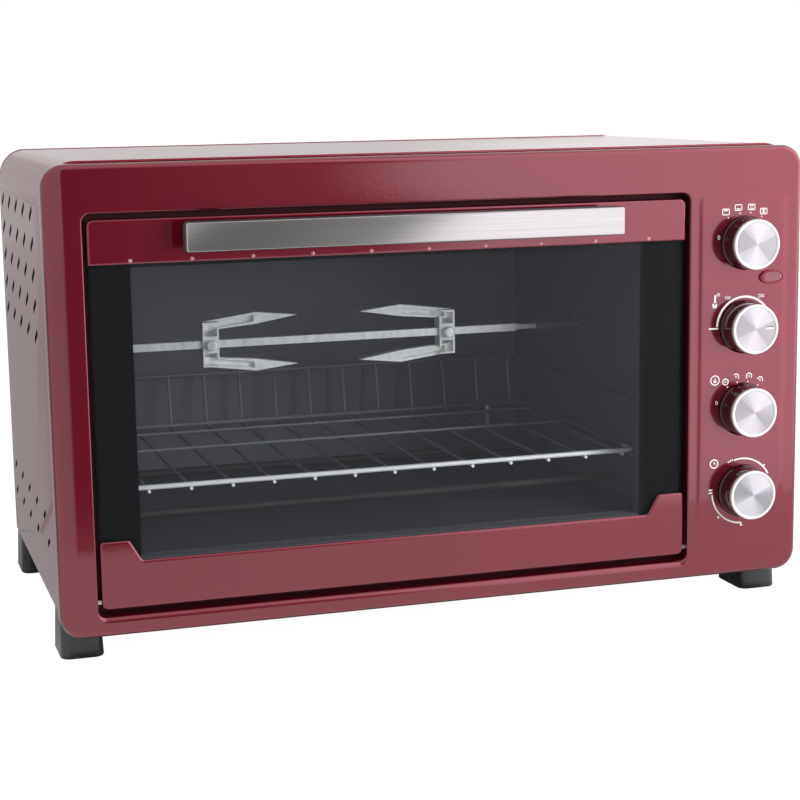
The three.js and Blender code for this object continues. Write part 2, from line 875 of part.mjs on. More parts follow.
// Inner frame: a channel all round behind the glass, open towards it.
function innerFrame() {
  const edge = sheet + fit;
  const ring = (inset, y0, y1) => {
    const outline = outlineFrom([
      [door.x0 + edge + inset, door.z0 + edge + inset],
      [door.x1 - edge - inset, door.z0 + edge + inset],
      [door.x1 - edge - inset, door.z1 - edge - inset],
      [door.x0 + edge + inset, door.z1 - edge - inset],
    ]);
    outline.holes.push(outlineFrom([
      [windowBox.x0 - inset, windowBox.z0 - inset],
      [windowBox.x1 + inset, windowBox.z0 - inset],
      [windowBox.x1 + inset, windowBox.z1 + inset],
      [windowBox.x0 - inset, windowBox.z1 + inset],
    ]));
    return plate(outline, y0, y1);
  };
  const channel = solidOf(ring(0, innerFrameFront, doorDepth))
    .subtract(solidOf(ring(sheet, innerFrameFront - overrun, doorDepth - sheet)));
  return pinTools().reduce((frame, tool) => frame.subtract(tool), channel);
}

// Hinge: a pin in each lower corner of the door turns in a bracket behind the panel.
function hingePin(edge, outward) {
  const inner = edge - outward * pinSunk;
  return rod([inner, pivot.y, pivot.z], [inner + outward * pinLength, pivot.y, pivot.z], pinRadius, coarse);
}

function hingeBracket(edge, outward) {
  const near = edge + outward * (panelWall + fit);
  const far = near + outward * bracketLength;
  const body = block(
    [Math.min(near, far), Math.max(near, far)],
    [panelDepth - bracketDepth, panelDepth],
    [pivot.z - bracketHeight / 2, pivot.z + bracketHeight / 2],
  );
  const bore = rod(
    [near - outward * overrun, pivot.y, pivot.z],
    [far + outward * overrun, pivot.y, pivot.z],
    pinRadius + fit,
    coarse,
  );
  return solidOf(body).subtract(solidOf(bore));
}

// Handle: a flat bar on two posts.
const handleZ1 = door.z1 - handleTopMargin;
const handleX = (door.x0 + door.x1) / 2;

function handleBar() {
  const outline = roundedOutline(
    -handleLength / 2,
    handleZ1 - handleHeight,
    handleLength / 2,
    handleZ1,
    handleRound,
  );
  return plate(outline, -handleReach, handleThickness - handleReach, {
    bevelThickness: handleRound / 2,
    bevelSize: handleRound / 2,
    bevelOffset: -handleRound / 2,
    bevelSegments: 1,
    curveSegments: 2,
  });
}

function handlePost() {
  const outline = roundedOutline(
    -postWidth / 2,
    handleZ1 - (handleHeight + postHeight) / 2,
    postWidth / 2,
    handleZ1 - (handleHeight - postHeight) / 2,
    postCorner,
  );
  return plate(outline, handleThickness - handleReach, 0);
}

// Knob: a moulded body with a spun cap on its face, on a shaft from the switch behind.
const knobBack = -fieldRise - knobLift;
const knobFace = knobBack - knobLength;

function knobBody() {
  return turned([
    [0, knobFace],
    [knobNose, knobFace],
    [knobRadius, knobBack - knobLip],
    [knobRadius, knobBack],
    [shaftRadius + fit, knobBack],
    [shaftRadius + fit, knobBack - shaftInKnob - fit],
    [0, knobBack - shaftInKnob - fit],
  ], fine);
}

function knobCap() {
  const face = knobFace - capThickness;
  return turned([
    [0, face + capDish],
    [capRadius - capRim - capDish, face + capDish],
    [capRadius - capRim, face],
    [capRadius - capDish, face],
    [capRadius, face + capDish],
    [capRadius, knobFace],
    [0, knobFace],
  ], fine);
}

function knobShaft() {
  return rod([0, knobBack - shaftInKnob, 0], [0, panelWall + fit + shaftInSwitch, 0], shaftRadius, coarse);
}

const switchFace = panelWall + fit;
const shaftBore = () => rod(
  [0, -overrun, 0],
  [0, switchFace + shaftInSwitch + fit, 0],
  shaftRadius + fit,
  medium,
);

function boxSwitch() {
  const body = block(
    [-switchWidth / 2, switchWidth / 2],
    [switchFace, switchFace + switchDepth],
    [-switchHeight / 2, switchHeight / 2],
  );
  return solidOf(body).subtract(solidOf(shaftBore()));
}

function drumSwitch(radius, depth) {
  const body = turned([
    [0, switchFace],
    [bushRadius * 2, switchFace],
    [radius, switchFace + bushRadius],
    [radius, switchFace + depth],
    [0, switchFace + depth],
  ], medium);
  return solidOf(body).subtract(solidOf(shaftBore()));
}

// Indicator lens: an oval button through the control field.
function lampOutline(grow) {
  const outline = new THREE.Shape();
  const halfWidth = lampWidth / 2 + grow;
  const halfTall = lampTall / 2 + grow;
  outline.absellipse(right - lampSide, panelTop - lampDrop, halfWidth, halfTall, 0, Math.PI * 2);
  return outline;
}

function lampOutlineTool(grow) {
  return plate(lampOutline(grow), -overrun, panelWall + overrun);
}

function indicatorLens() {
  return plate(lampOutline(0), -fieldRise - lampProud, lampDepth, {
    bevelThickness: lampRound,
    bevelSize: lampRound,
    bevelOffset: -lampRound,
    bevelSegments: 2,
  });
}

// Spit: a square rod with a round journal at the left and a round neck for the drive cup.
function spitRod() {
  const half = spitSide / 2;
  const bar = block([spit.x0, spit.x1], [-half, half], [-half, half]);
  const journal = rod(
    [spit.x0 - journalLength, 0, 0],
    [spit.x0 + weldDepth, 0, 0],
    journalRadius,
    medium,
  );
  const neck = turnedAlongX([
    [0, spit.x1 - weldDepth],
    [half, spit.x1 - weldDepth],
    [spitNeckRadius, spit.x1 + spitTaper],
    [spitNeckRadius, spit.x1 + spitNeckLength],
    [0, spit.x1 + spitNeckLength],
  ], coarse);
  return join(bar, journal, neck);
}

// Drive: a cup that the neck drops into, on a flange and shaft from the motor.
function spitDrive() {
  const wall = cavity.x1 - fit;
  const cup = spit.x1 + spitNeckLength - cupLength / 2;
  return turnedAlongX([
    [0, cup + cupLength / 2 + fit],
    [cupBore, cup + cupLength / 2 + fit],
    [cupBore, cup],
    [cupRadius, cup],
    [cupRadius, cup + cupLength],
    [driveRadius, cup + cupLength],
    [driveRadius, wall - driveFlangeThickness],
    [driveFlange, wall - driveFlangeThickness],
    [driveFlange, wall],
    [driveRadius, wall],
    [driveRadius, cavity.x1 + sheet + motorBoss],
    [0, cavity.x1 + sheet + motorBoss],
  ], medium);
}

function rotisserieMotor() {
  const x0 = cavity.x1 + sheet + fit;
  const half = motorSide / 2;
  const body = block([x0, x0 + motorThickness], [-half, half], [-half, half]);
  const bore = rod(
    [x0 - overrun, 0, 0],
    [cavity.x1 + sheet + motorBoss + fit, 0, 0],
    driveRadius + fit,
    medium,
  );
  return solidOf(body).subtract(solidOf(bore));
}

// Rest: a notched block on the left wall that carries the journal.
function spitRest() {
  const x0 = cavity.x0 + fit;
  const body = block(
    [x0, x0 + restThickness],
    [-restWidth / 2, restWidth / 2],
    [-restDrop, restLip],
  );
  const seat = rod(
    [x0 - overrun, 0, 0],
    [x0 + restThickness + overrun, 0, 0],
    journalRadius + fit,
    medium,
  );
  const mouth = block(
    [x0 - overrun, x0 + restThickness + overrun],
    [-journalRadius - fit, journalRadius + fit],
    [0, restLip + overrun],
  );
  return solidOf(body).subtract(solidOf(seat)).subtract(solidOf(mouth));
}

// Fork: a folded channel hub on the spit with two barbed prongs. Drawn pointing to +X.
const spitLength = spit.x1 - spit.x0;
const forkReach = forkReachShare * spitLength;
const forkKink = forkKinkShare * forkReach;

function forkGeometry() {
  const hubTop = forkHubHeight / 2;
  const prong = (side) => {
    const base = side * (hubTop - prongWidth);
    const edge = side * hubTop;
    const splay = side * forkSplay;
    const tip = side * (hubTop - prongWidth / 2 + forkTipSplay - forkSplay / 2);
    const blade = side * (bladeWidth - prongWidth);
    const points = [
      [0, base],
      [forkKink, base + splay - blade],
      [forkReach, tip],
      [forkKink, edge + splay],
      [0, edge],
    ];
    return outlineFrom(points);
  };
  const groove = (side) => {
    const base = side * (hubTop - prongWidth + forkWall);
    const edge = side * (hubTop - forkWall);
    const splay = side * forkSplay * (1 - forkWall / prongWidth);
    const points = [
      [forkHubLength / 2, base],
      [forkKink - forkWall, base + splay],
      [forkKink - forkWall, edge + splay],
      [forkHubLength / 2, edge],
    ];
    return outlineFrom(points);
  };
  const half = forkHubDepth / 2;
  const hub = solidOf(block([0, forkHubLength], [-half, half], [-hubTop, hubTop]));
  const pocket = (side) => {
    const span = [side * forkCoreHeight / 2, side * (hubTop - forkWall)];
    return block(
      [forkWall, forkHubLength - forkWall],
      [-half - overrun, half - forkWall],
      [Math.min(...span), Math.max(...span)],
    );
  };
  let fork = hub;
  for (const side of [-1, 1]) {
    const arm = solidOf(plate(prong(side), half - prongDepth, half));
    fork = fork.subtract(solidOf(pocket(side)))
      .add(arm)
      .subtract(solidOf(plate(groove(side), -half - overrun, half - forkWall)));
  }
  const bore = spitSide / 2 + fit;
  const square = block([-overrun, forkHubLength + overrun], [-bore, bore], [-bore, bore]);
  const screwHole = rod(
    [forkHubLength / 2, -half - overrun, 0],
    [forkHubLength / 2, 0, 0],
    forkScrewRadius + fit,
    coarse,
  );
  return geometryOf(fork.subtract(solidOf(square)).subtract(solidOf(screwHole)));
}

function forkScrew() {
  const front = -forkHubDepth / 2 - forkScrewStand;
  return turned([
    [0, front - forkScrewHeadLength],
    [forkScrewHead, front - forkScrewHeadLength],
    [forkScrewHead, front],
    [forkScrewRadius, front],
    [forkScrewRadius, -spitSide / 2 - fit],
    [0, -spitSide / 2 - fit],
  ], coarse);
}

// The right fork is the left one turned half a turn about the vertical, so its open side
// is then brought back to the front by half a turn about the spit.
function placedFork(name, x, flipped) {
  const geometry = forkGeometry();
  if (flipped) geometry.rotateZ(Math.PI).rotateX(Math.PI);
  return piece(name, geometry, finishes.chromeWire, [x, spit.y, spit.z]);
}

function thermostatBulb() {
  const x = cavity.x1 - bulbSideGap;
  const y = cavity.y1 - fit - bulbRadius;
  const low = cavity.z0 + bulbRise;
  return rod([x, y, low], [x, y, low + bulbLength], bulbRadius, coarse);
}

// Assembly
const { redEnamel, redPlastic, blackPlastic, blackGlass, brushedSteel, spunAluminium } = finishes;
const { chromeWire, cavityCoat, galvanised, heaterSheath, redLens } = finishes;

const footX = right - footSideInset - footWidth / 2;
const footFrontY = footFrontInset + footLength / 2;
const footRearY = cabinetDepth - footRearInset - footLength / 2;

const cabinet = groupOf(
  piece('front_panel', frontPanel(), redEnamel),
  piece('outer_casing', outerCasing(), redEnamel),
  piece('rear_panel', rearPanel(), galvanised),
  piece('base_plate', basePlate(), galvanised),
  piece('cord_gland', cordGland(), blackPlastic, [gland.x, 0, gland.z]),
  piece('foot_front_left', foot(), blackPlastic, [-footX, footFrontY, 0]),
  piece('foot_front_right', foot(), blackPlastic, [footX, footFrontY, 0]),
  piece('foot_rear_left', foot(), blackPlastic, [-footX, footRearY, 0]),
  piece('foot_rear_right', foot(), blackPlastic, [footX, footRearY, 0]),
  piece('hinge_bracket_left', hingeBracket(opening.x0, -1), galvanised),
  piece('hinge_bracket_right', hingeBracket(opening.x1, 1), galvanised),
);

const cookingSpace = groupOf(
  piece('mouth_frame', mouthFrame(), cavityCoat),
  piece('cavity_shell', cavityShell(), cavityCoat),
  piece('cavity_rear_wall', cavityRearWall(), cavityCoat),
  piece('cavity_floor', cavityFloorPan(), cavityCoat),
  piece('heat_shield', heatShield(), galvanised),
  piece('rack_guide_left', rackGuide(cavity.x0, 1), cavityCoat),
  piece('rack_guide_right', rackGuide(cavity.x1, -1), cavityCoat),
  piece('thermostat_bulb', thermostatBulb(), chromeWire),
  rodPlaces.map(([name, y, z]) => piece(name, heatingRod(), heaterSheath, [0, y, z])),
);

const doorLeaf = groupOf(
  piece('door_top_band', topBand(), redEnamel),
  piece('door_low_band', lowBand(), redEnamel),
  piece('door_glass', doorGlass(), blackGlass),
  piece('door_inner_frame', innerFrame(), cavityCoat),
  piece('hinge_pin_left', hingePin(door.x0, -1), chromeWire),
  piece('hinge_pin_right', hingePin(door.x1, 1), chromeWire),
  piece('handle_bar', handleBar(), brushedSteel, [handleX, 0, 0]),
  piece('handle_post_left', handlePost(), blackPlastic, [handleX - handleLength / 2 + postInset, 0, 0]),
  piece('handle_post_right', handlePost(), blackPlastic, [handleX + handleLength / 2 - postInset, 0, 0]),
);

const controlNames = ['heat', 'thermostat', 'function', 'timer'];
const stations = knobHeights.map((z) => [knobX, 0, z]);
const controls = groupOf(
  controlNames.map((name, index) => {
    const station = groupOf(
      piece(`${name}_knob`, knobBody(), redPlastic),
      piece(`${name}_knob_cap`, knobCap(), spunAluminium),
      piece(`${name}_shaft`, knobShaft(), galvanised),
    );
    station.position.set(...stations[index]);
    return station;
  }),
  piece('heat_switch', boxSwitch(), blackPlastic, stations[0]),
  piece('thermostat_body', drumSwitch(thermostatRadius, thermostatDepth), galvanised, stations[1]),
  piece('function_switch', boxSwitch(), blackPlastic, stations[2]),
  piece('timer_body', drumSwitch(timerRadius, timerDepth), galvanised, stations[3]),
  piece('indicator_lens', indicatorLens(), redLens),
);

const spitAxis = [0, spit.y, spit.z];
const leftForkX = spit.x0 + leftForkShare * spitLength;
const rightForkX = spit.x0 + rightForkShare * spitLength;
const leftScrew = [leftForkX + forkHubLength / 2, spit.y, spit.z];
const rightScrew = [rightForkX - forkHubLength / 2, spit.y, spit.z];
const rotisserie = groupOf(
  piece('spit_rod', spitRod(), chromeWire, spitAxis),
  piece('spit_drive', spitDrive(), galvanised, spitAxis),
  piece('rotisserie_motor', rotisserieMotor(), galvanised, spitAxis),
  piece('spit_rest', spitRest(), galvanised, spitAxis),
  placedFork('fork_left', leftForkX, false),
  placedFork('fork_right', rightForkX, true),
  piece('fork_screw_left', forkScrew(), chromeWire, leftScrew),
  piece('fork_screw_right', forkScrew(), chromeWire, rightScrew),
);

const furniture = groupOf(
  piece('wire_rack', wireRack(), chromeWire),
  piece('crumb_tray', crumbTray(), galvanised),
);

const oven = groupOf(cabinet, cookingSpace, doorLeaf, controls, rotisserie, furniture);
oven.position.y = (handleReach - cabinetDepth - glandReach) / 2;

export default oven;
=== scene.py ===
import math

import bmesh
import bpy
import numpy as np
from mathutils import Matrix, Vector
from mathutils.geometry import tessellate_polygon


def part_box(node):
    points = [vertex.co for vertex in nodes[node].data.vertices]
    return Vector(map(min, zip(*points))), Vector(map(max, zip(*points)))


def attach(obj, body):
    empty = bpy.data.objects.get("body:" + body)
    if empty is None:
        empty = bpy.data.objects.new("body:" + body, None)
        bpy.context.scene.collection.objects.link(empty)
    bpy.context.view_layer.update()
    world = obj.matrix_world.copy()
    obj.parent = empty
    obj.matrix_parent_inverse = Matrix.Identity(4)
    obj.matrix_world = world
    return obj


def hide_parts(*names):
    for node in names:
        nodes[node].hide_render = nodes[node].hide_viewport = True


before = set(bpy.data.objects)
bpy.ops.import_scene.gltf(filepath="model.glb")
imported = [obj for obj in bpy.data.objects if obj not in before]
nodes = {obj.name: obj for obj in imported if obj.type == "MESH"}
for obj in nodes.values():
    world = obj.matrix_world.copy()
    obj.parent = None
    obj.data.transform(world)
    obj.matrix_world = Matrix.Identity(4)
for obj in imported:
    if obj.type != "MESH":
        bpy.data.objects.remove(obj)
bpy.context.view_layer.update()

# Studio: the oven stands on a white table in a pale room. A wide soft light stands at its right
# front and the room is dark at its left front; the gloss enamel and the steel mirror both.
scene = bpy.context.scene
scene.view_settings.view_transform = "Standard"


def placed(name, data):
    """An object in the scene, at the origin, from its data."""
    thing = bpy.data.objects.new(name, data)
    scene.collection.objects.link(thing)
    return thing


camera_place = Vector((-0.4505, -1.48292, 0.4191))
camera_yaw = math.radians(17.3)
camera_pitch = math.radians(9.54)
camera_roll = math.radians(-0.91)
focal_share = 1855.22 / 800
sensor = 36.0

ahead = Vector((
    math.sin(camera_yaw) * math.cos(camera_pitch),
    math.cos(camera_yaw) * math.cos(camera_pitch),
    -math.sin(camera_pitch),
))
level_right = Vector((math.cos(camera_yaw), -math.sin(camera_yaw), 0))
level_up = level_right.cross(ahead)
camera_right = math.cos(camera_roll) * level_right + math.sin(camera_roll) * level_up
camera_up = math.cos(camera_roll) * level_up - math.sin(camera_roll) * level_right
camera_data = bpy.data.cameras.new("camera")
camera_data.lens = sensor * focal_share
camera_data.sensor_width = sensor
camera = placed("camera", camera_data)
turn = Matrix((camera_right, camera_up, -ahead)).transposed()
camera.matrix_world = Matrix.Translation(camera_place) @ turn.to_4x4()
scene.camera = camera


class Tree:
    """The emptied node tree of a world or a material, with short calls that add nodes and join
    them. An operand is a number, a colour or another node's socket."""

    def __init__(self, owner):
        owner.use_nodes = True
        self.nodes = owner.node_tree.nodes
        self.join = owner.node_tree.links.new
        self.nodes.clear()

    def add(self, kind, **settings):
        node = self.nodes.new("ShaderNode" + kind)
        for key, value in settings.items():
            setattr(node, key, value)
        return node

    def feed(self, node, *operands):
        """Fills a node's first sockets in order and returns its first output, if it has one."""
        for socket, operand in zip(node.inputs, operands):
            if isinstance(operand, bpy.types.NodeSocket):
                self.join(operand, socket)
            else:
                socket.default_value = operand
        return node.outputs[0] if node.outputs else None

    def math(self, operation, *operands):
        return self.feed(self.add("Math", operation=operation), *operands)

    def slope(self, value, start, end, low=0.0, high=1.0):
        """A smooth step: low where value is at start, high where it is at end, eased between."""
        node = self.add("MapRange", interpolation_type="SMOOTHSTEP")
        return self.feed(node, value, start, end, low, high)

    def place(self, source="Object"):
        """The x, y and z of the surface point, or of the direction in a world."""
        split = self.add("SeparateXYZ")
        self.feed(split, self.add("TexCoord").outputs[source])
        return split.outputs

    def blended(self, share, first, second):
        """Share 0 gives the first shader, share 1 the second."""
        return self.feed(self.add("MixShader"), share, first, second)

    def looked_at(self, path):
        """1 on rays that come from the camera, straight or through clear pieces, otherwise 0."""
        return self.math("MAXIMUM", path.outputs["Is Camera Ray"], path.outputs["Is Transmission Ray"])

    def grain(self, scale, detail=2.0, stretch=(1, 1, 1), roughness=0.5, point=None):
        """Noise on Object coordinates or on the given point: scale is in cells a metre, stretch
        squeezes it by axis."""
        mapping = self.add("Mapping")
        mapping.inputs["Scale"].default_value = stretch
        self.join(point or self.add("TexCoord").outputs["Object"], mapping.inputs["Vector"])
        noise = self.add("TexNoise")
        self.join(mapping.outputs[0], noise.inputs["Vector"])
        noise.inputs["Scale"].default_value = scale
        noise.inputs["Detail"].default_value = detail
        noise.inputs["Roughness"].default_value = roughness
        return noise.outputs[0]

    def toned(self, value, dark, light, shader, span=(0.3, 0.7)):
        """Colours a shader by a value: dark where it is low, light where it is high. The colour
        between them stands in where a reader can't follow the ramp."""
        shader.inputs["Base Color"].default_value = (*(np.add(dark, light) / 2), 1)
        ramp = self.add("ValToRGB")
        for element, position, color in zip(ramp.color_ramp.elements, span, (dark, light)):
            element.position = position
            element.color = (*color, 1)
        self.join(value, ramp.inputs[0])
        self.join(ramp.outputs[0], shader.inputs["Base Color"])

    def relief(self, value, depth, shader, socket="Normal"):
        """Raises a surface by depth metres where the value is 1."""
        bump = self.add("Bump")
        bump.inputs["Distance"].default_value = depth
        bump.inputs["Strength"].default_value = 1.0
        self.join(value, bump.inputs["Height"])
        self.join(bump.outputs[0], shader.inputs[socket])


def surfaced(name, roughness, metallic=0.0, **sockets):
    """A material with one Principled shader, and its tree and shader. Every socket that is the
    same all over stays a plain value."""
    material = bpy.data.materials.new(name)
    tree = Tree(material)
    shader = tree.add("BsdfPrincipled")
    shader.inputs["Roughness"].default_value = roughness
    shader.inputs["Metallic"].default_value = metallic
    for key, value in sockets.items():
        shader.inputs[key.replace("_", " ")].default_value = value
    tree.feed(tree.add("OutputMaterial"), shader.outputs[0])
    return material, tree, shader


def finish(name, dark, light, roughness, metallic=0.0, tone=(300, 2), bump=None, on="Normal", **sockets):
    """A material that wanders from dark to light with the noise that tone describes. bump is a
    height in metres and the noise that raises the surface by it."""
    material, tree, shader = surfaced(name, roughness, metallic, **sockets)
    tree.toned(tree.grain(*tone), dark, light, shader)
    if bump:
        tree.relief(tree.grain(*bump[1:]), bump[0], shader, on)
    return material


# The room as mirrors see it, by bearing (zero points straight out of the oven's front, and it
# grows to the right) and by rise, the direction's height. Matt surfaces get one even light.
room_light = 0.62
dark_corner = 0.06
dusk_gain = 0.15
dusk = np.radians((6.5, 14.5))
room_sides = 0.80
room_behind = 0.45
room_behind_right = 0.34
behind_right = (0.28, 0.42)
room_above = 0.95
ceiling_rise = (0.15, 0.80)
window_light = 1.62
window_tint = (1.02, 0.965, 1.03, 1)
window_edge = np.radians((16.0, 21.0))
window_lean = math.radians(1.7)
lean_rise = (-0.060, -0.052)
lean_fall = (-0.02, 0.0)
window_end = np.radians((75, 110))
window_top = (0.75, 0.98)
left_wall = np.radians((3.0, -1.0))
wall_streak = np.radians((-0.5, 0.5))
streak_end = np.radians((8, 11))
streak_rise = (-0.11, -0.06)
streak_gains = (0.15, 0.9)
right_wall = np.radians((30, 60))
rear_wall = np.radians((100, 150))

world = bpy.data.worlds.new("studio")
scene.world = world
sky = Tree(world)
side, depth, rise = sky.place("Generated")
bearing = sky.math("ARCTAN2", side, sky.math("MULTIPLY", depth, -1.0))
swing = sky.math("ABSOLUTE", bearing)
walls = sky.math("MAXIMUM", sky.slope(bearing, *left_wall), sky.slope(bearing, *right_wall))
rear_right = sky.slope(side, *behind_right, 0.0, room_behind_right)
wall_gain = sky.math(
    "MULTIPLY_ADD", sky.slope(swing, *rear_wall), rear_right,
    sky.slope(swing, *rear_wall, room_sides, room_behind),
)
streak = sky.math("MULTIPLY", sky.slope(bearing, *wall_streak), sky.slope(bearing, *streak_end, 1.0, 0.0))
streak = sky.math("MULTIPLY_ADD", streak, sky.slope(rise, *streak_rise, *streak_gains), 1.0)
dark_level = sky.slope(bearing, *dusk, dark_corner, dark_corner + dusk_gain)
level = sky.math("MULTIPLY_ADD", walls, sky.math("MULTIPLY", wall_gain, streak), dark_level)
lean = sky.math(
    "MULTIPLY", sky.slope(rise, *lean_rise, 0.0, window_lean), sky.slope(rise, *lean_fall, 1.0, 0.0)
)
window = sky.slope(sky.math("ADD", bearing, lean), *window_edge)
window = sky.math("MULTIPLY", window, sky.slope(bearing, *window_end, 1.0, 0.0))
window = sky.math("MULTIPLY", window, sky.slope(rise, *window_top, 1.0, 0.0))
mirrored = sky.math("MULTIPLY_ADD", window, window_light, level)
mirrored = sky.math("MAXIMUM", mirrored, sky.slope(rise, *ceiling_rise, 0.0, room_above))
path = sky.add("LightPath")
glossy_ray = path.outputs["Is Glossy Ray"]
glossy_gain = sky.math("SUBTRACT", mirrored, room_light)
strength = sky.math("MULTIPLY_ADD", glossy_ray, glossy_gain, room_light)
strength = sky.math("MULTIPLY_ADD", sky.looked_at(path), sky.math("SUBTRACT", 1.0, strength), strength)
tint = sky.add("Mix", data_type="RGBA")
sky.join(sky.math("MULTIPLY", window, glossy_ray), tint.inputs[0])
tint.inputs[6].default_value = (1, 1, 1, 1)
tint.inputs[7].default_value = window_tint
background = sky.feed(sky.add("Background"), tint.outputs[2], strength)
sky.feed(sky.add("OutputWorld"), background)

# The table as mirrors see it is an emission with a painted shadow. It dims behind the oven's front, and
# dims more under the oven itself, where the oven's own shade falls.
table_reach = 4.0
table_gloss = 0.98
table_edge = (-0.53, -0.50)
table_fade = (-0.75, -0.53)
table_fade_share = 0.2
painted_shadow_behind = (-0.19, -0.02)
painted_shadow_dim = 0.38
painted_shadow_under = (0.28, 0.31)
painted_shadow_under_level = 0.12
painted_shadow_front = (-0.165, -0.150)
table_far = (1.6, 4.0)
table_white = 1.22
table_white_share = 0.80
table_matt = (0.8, 0.8, 0.8, 1)

floor_mesh = bpy.data.meshes.new("floor")
floor_points = np.array([(-1, -1, 0), (1, -1, 0), (1, 1, 0), (-1, 1, 0)]) * table_reach
floor_mesh.from_pydata(floor_points.tolist(), [], [(0, 1, 2, 3)])
floor = placed("floor", floor_mesh)
floor_paint = bpy.data.materials.new("floor_white")
top = Tree(floor_paint)
x, y, _ = top.place()
fade = top.slope(y, *table_fade, 0.0, table_fade_share)
near = top.math("ADD", top.slope(y, *table_edge, 0.0, 1.0 - table_fade_share), fade)
# Painted shadow under the oven: low between its sides and behind its front, full elsewhere.
beside = top.slope(top.math("ABSOLUTE", x), *painted_shadow_under, painted_shadow_under_level, 1.0)
beside = top.math("MAXIMUM", beside, top.slope(y, *painted_shadow_front, 1.0, 0.0))
mirrored = top.math(
    "MULTIPLY_ADD", top.slope(y, *painted_shadow_behind, table_gloss, painted_shadow_dim), beside,
    top.slope(y, *table_far, 0.0, room_behind - painted_shadow_dim),
)
path = top.add("LightPath")
matt = top.feed(top.add("BsdfDiffuse"), table_matt)
white = top.add("Emission")
white.inputs["Strength"].default_value = table_white
gleam = top.add("Emission")
top.join(mirrored, gleam.inputs["Strength"])
clear = top.add("BsdfTransparent")
shown = top.blended(table_white_share, matt, white.outputs[0])
surface = top.blended(top.looked_at(path), matt, shown)
reflection = top.blended(near, clear.outputs[0], gleam.outputs[0])
top.feed(top.add("OutputMaterial"), top.blended(path.outputs["Is Glossy Ray"], surface, reflection))
floor_mesh.materials.append(floor_paint)

key_place = Vector((0.72, -1.35, 0.62))
key_aim = Vector((0.02, -0.05, 0.2))
key_data = bpy.data.lights.new("key", "AREA")
key_data.shape = "SQUARE"
key_data.size = 0.7
key_data.energy = 17
key = placed("key", key_data)
key_turn = (key_aim - key_place).to_track_quat("-Z", "Y").to_matrix().to_4x4()
key.matrix_world = Matrix.Translation(key_place) @ key_turn
key.visible_camera = False
key.visible_glossy = False


milli = 0.001


def middle(name):
    """The middle of a CAD node's box."""
    return [(a + b) / 2 for a, b in zip(*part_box(name))]


def smooth(share):
    """A share from 0 to 1 eased at both ends."""
    return share ** 2 * (3 - 2 * share)


def rolled(radius, count=5):
    """Steps (inset, depth) over a rounded edge, from the front face to the side face."""
    quarter = np.linspace(0, math.pi / 2, count)
    return [(radius * (1 - math.sin(a)), radius * (1 - math.cos(a))) for a in quarter]


def near(base, *steps, radius=0.0):
    """Profile points in metres from pairs in millimetres: a radius (or inset), which counts from
    radius where that is given, and a place that counts from base."""
    return [(radius + out * milli, base + along * milli) for out, along in steps]


def rectangle(x0, z0, x1, z1):
    """The four corners of a rectangle, anticlockwise from its low left one."""
    return np.array([(x0, z0), (x1, z0), (x1, z1), (x0, z1)], float)


def circle(radius, x, z, count=32, tall=None):
    """Points on a circle, anticlockwise, or on an oval whose upright half axis is tall."""
    angle = np.arange(count) * 2 * math.pi / count
    return np.column_stack([x + radius * np.cos(angle), z + (tall or radius) * np.sin(angle)])


def outline(corners, radii, inset=0.0, steps=8):
    """Points round a polygon with rounded corners, anticlockwise. Each side moves in by inset
    along its left normal, so a corner moves by inset (n1 + n2) / (1 + n1.n2). A corner becomes
    an arc that touches both sides; its radius loses inset where it bulges and gains it where
    it is hollow."""
    corners = np.asarray(corners, float)
    radii = np.broadcast_to(np.asarray(radii, float), len(corners))
    arriving = corners - np.roll(corners, 1, axis=0)
    leaving = np.roll(corners, -1, axis=0) - corners
    arriving = arriving / np.linalg.norm(arriving, axis=1, keepdims=True)
    leaving = leaving / np.linalg.norm(leaving, axis=1, keepdims=True)
    normal = np.stack([-arriving[:, 1], arriving[:, 0]], 1)
    next_normal = np.stack([-leaving[:, 1], leaving[:, 0]], 1)
    cross = arriving[:, 0] * leaving[:, 1] - arriving[:, 1] * leaving[:, 0]
    bend = np.arctan2(cross, (arriving * leaving).sum(1))
    hand = np.sign(bend)
    moved = corners + inset * (normal + next_normal) / (1 + (normal * next_normal).sum(1))[:, None]
    radius = np.maximum(radii - inset * hand, 2e-5)
    start = moved - arriving * (radius * np.tan(np.abs(bend) / 2))[:, None]
    centre = start + normal * (hand * radius)[:, None]
    angle = bend[:, None] * np.linspace(0, 1, steps + 1)
    arm = start - centre
    u = centre[:, :1] + arm[:, :1] * np.cos(angle) - arm[:, 1:] * np.sin(angle)
    v = centre[:, 1:] + arm[:, :1] * np.sin(angle) + arm[:, 1:] * np.cos(angle)
    return np.stack([u, v], -1).reshape(-1, 2)


def sideways(flat, x):
    """Side-view points (y, z) set at x, one x for all or one for each."""
    return np.insert(flat, 0, x, axis=1)


def upright(flat, y):
    """Front-view points (x, z) stood up at depth y."""
    return np.insert(flat, 1, y, axis=1)


def lying(flat, z):
    """Points (x, y) seen from above, laid at height z."""
    return np.insert(flat, 2, z, axis=1)


def stood(corners, radii, steps):
    """Front-view outlines, one for each step (inset, depth)."""
    return [upright(outline(corners, radii, inset), y) for inset, y in steps]


def lathe(profile, axis, centre, count=24):
    """A profile of (radius, place) turned about the line along an axis (0 to 2) through centre.
    Each point becomes a ring: cos goes with the first of the two other axes, sin with the second."""
    angle = np.arange(count) * 2 * math.pi / count
    radius, place = np.asarray(profile, float).T[:, :, None]
    first, second = [centre[other] for other in range(3) if other != axis]
    rings = [first + radius * np.cos(angle), second + radius * np.sin(angle)]
    rings.insert(axis, np.broadcast_to(place, rings[0].shape))
    return np.stack(rings, -1)


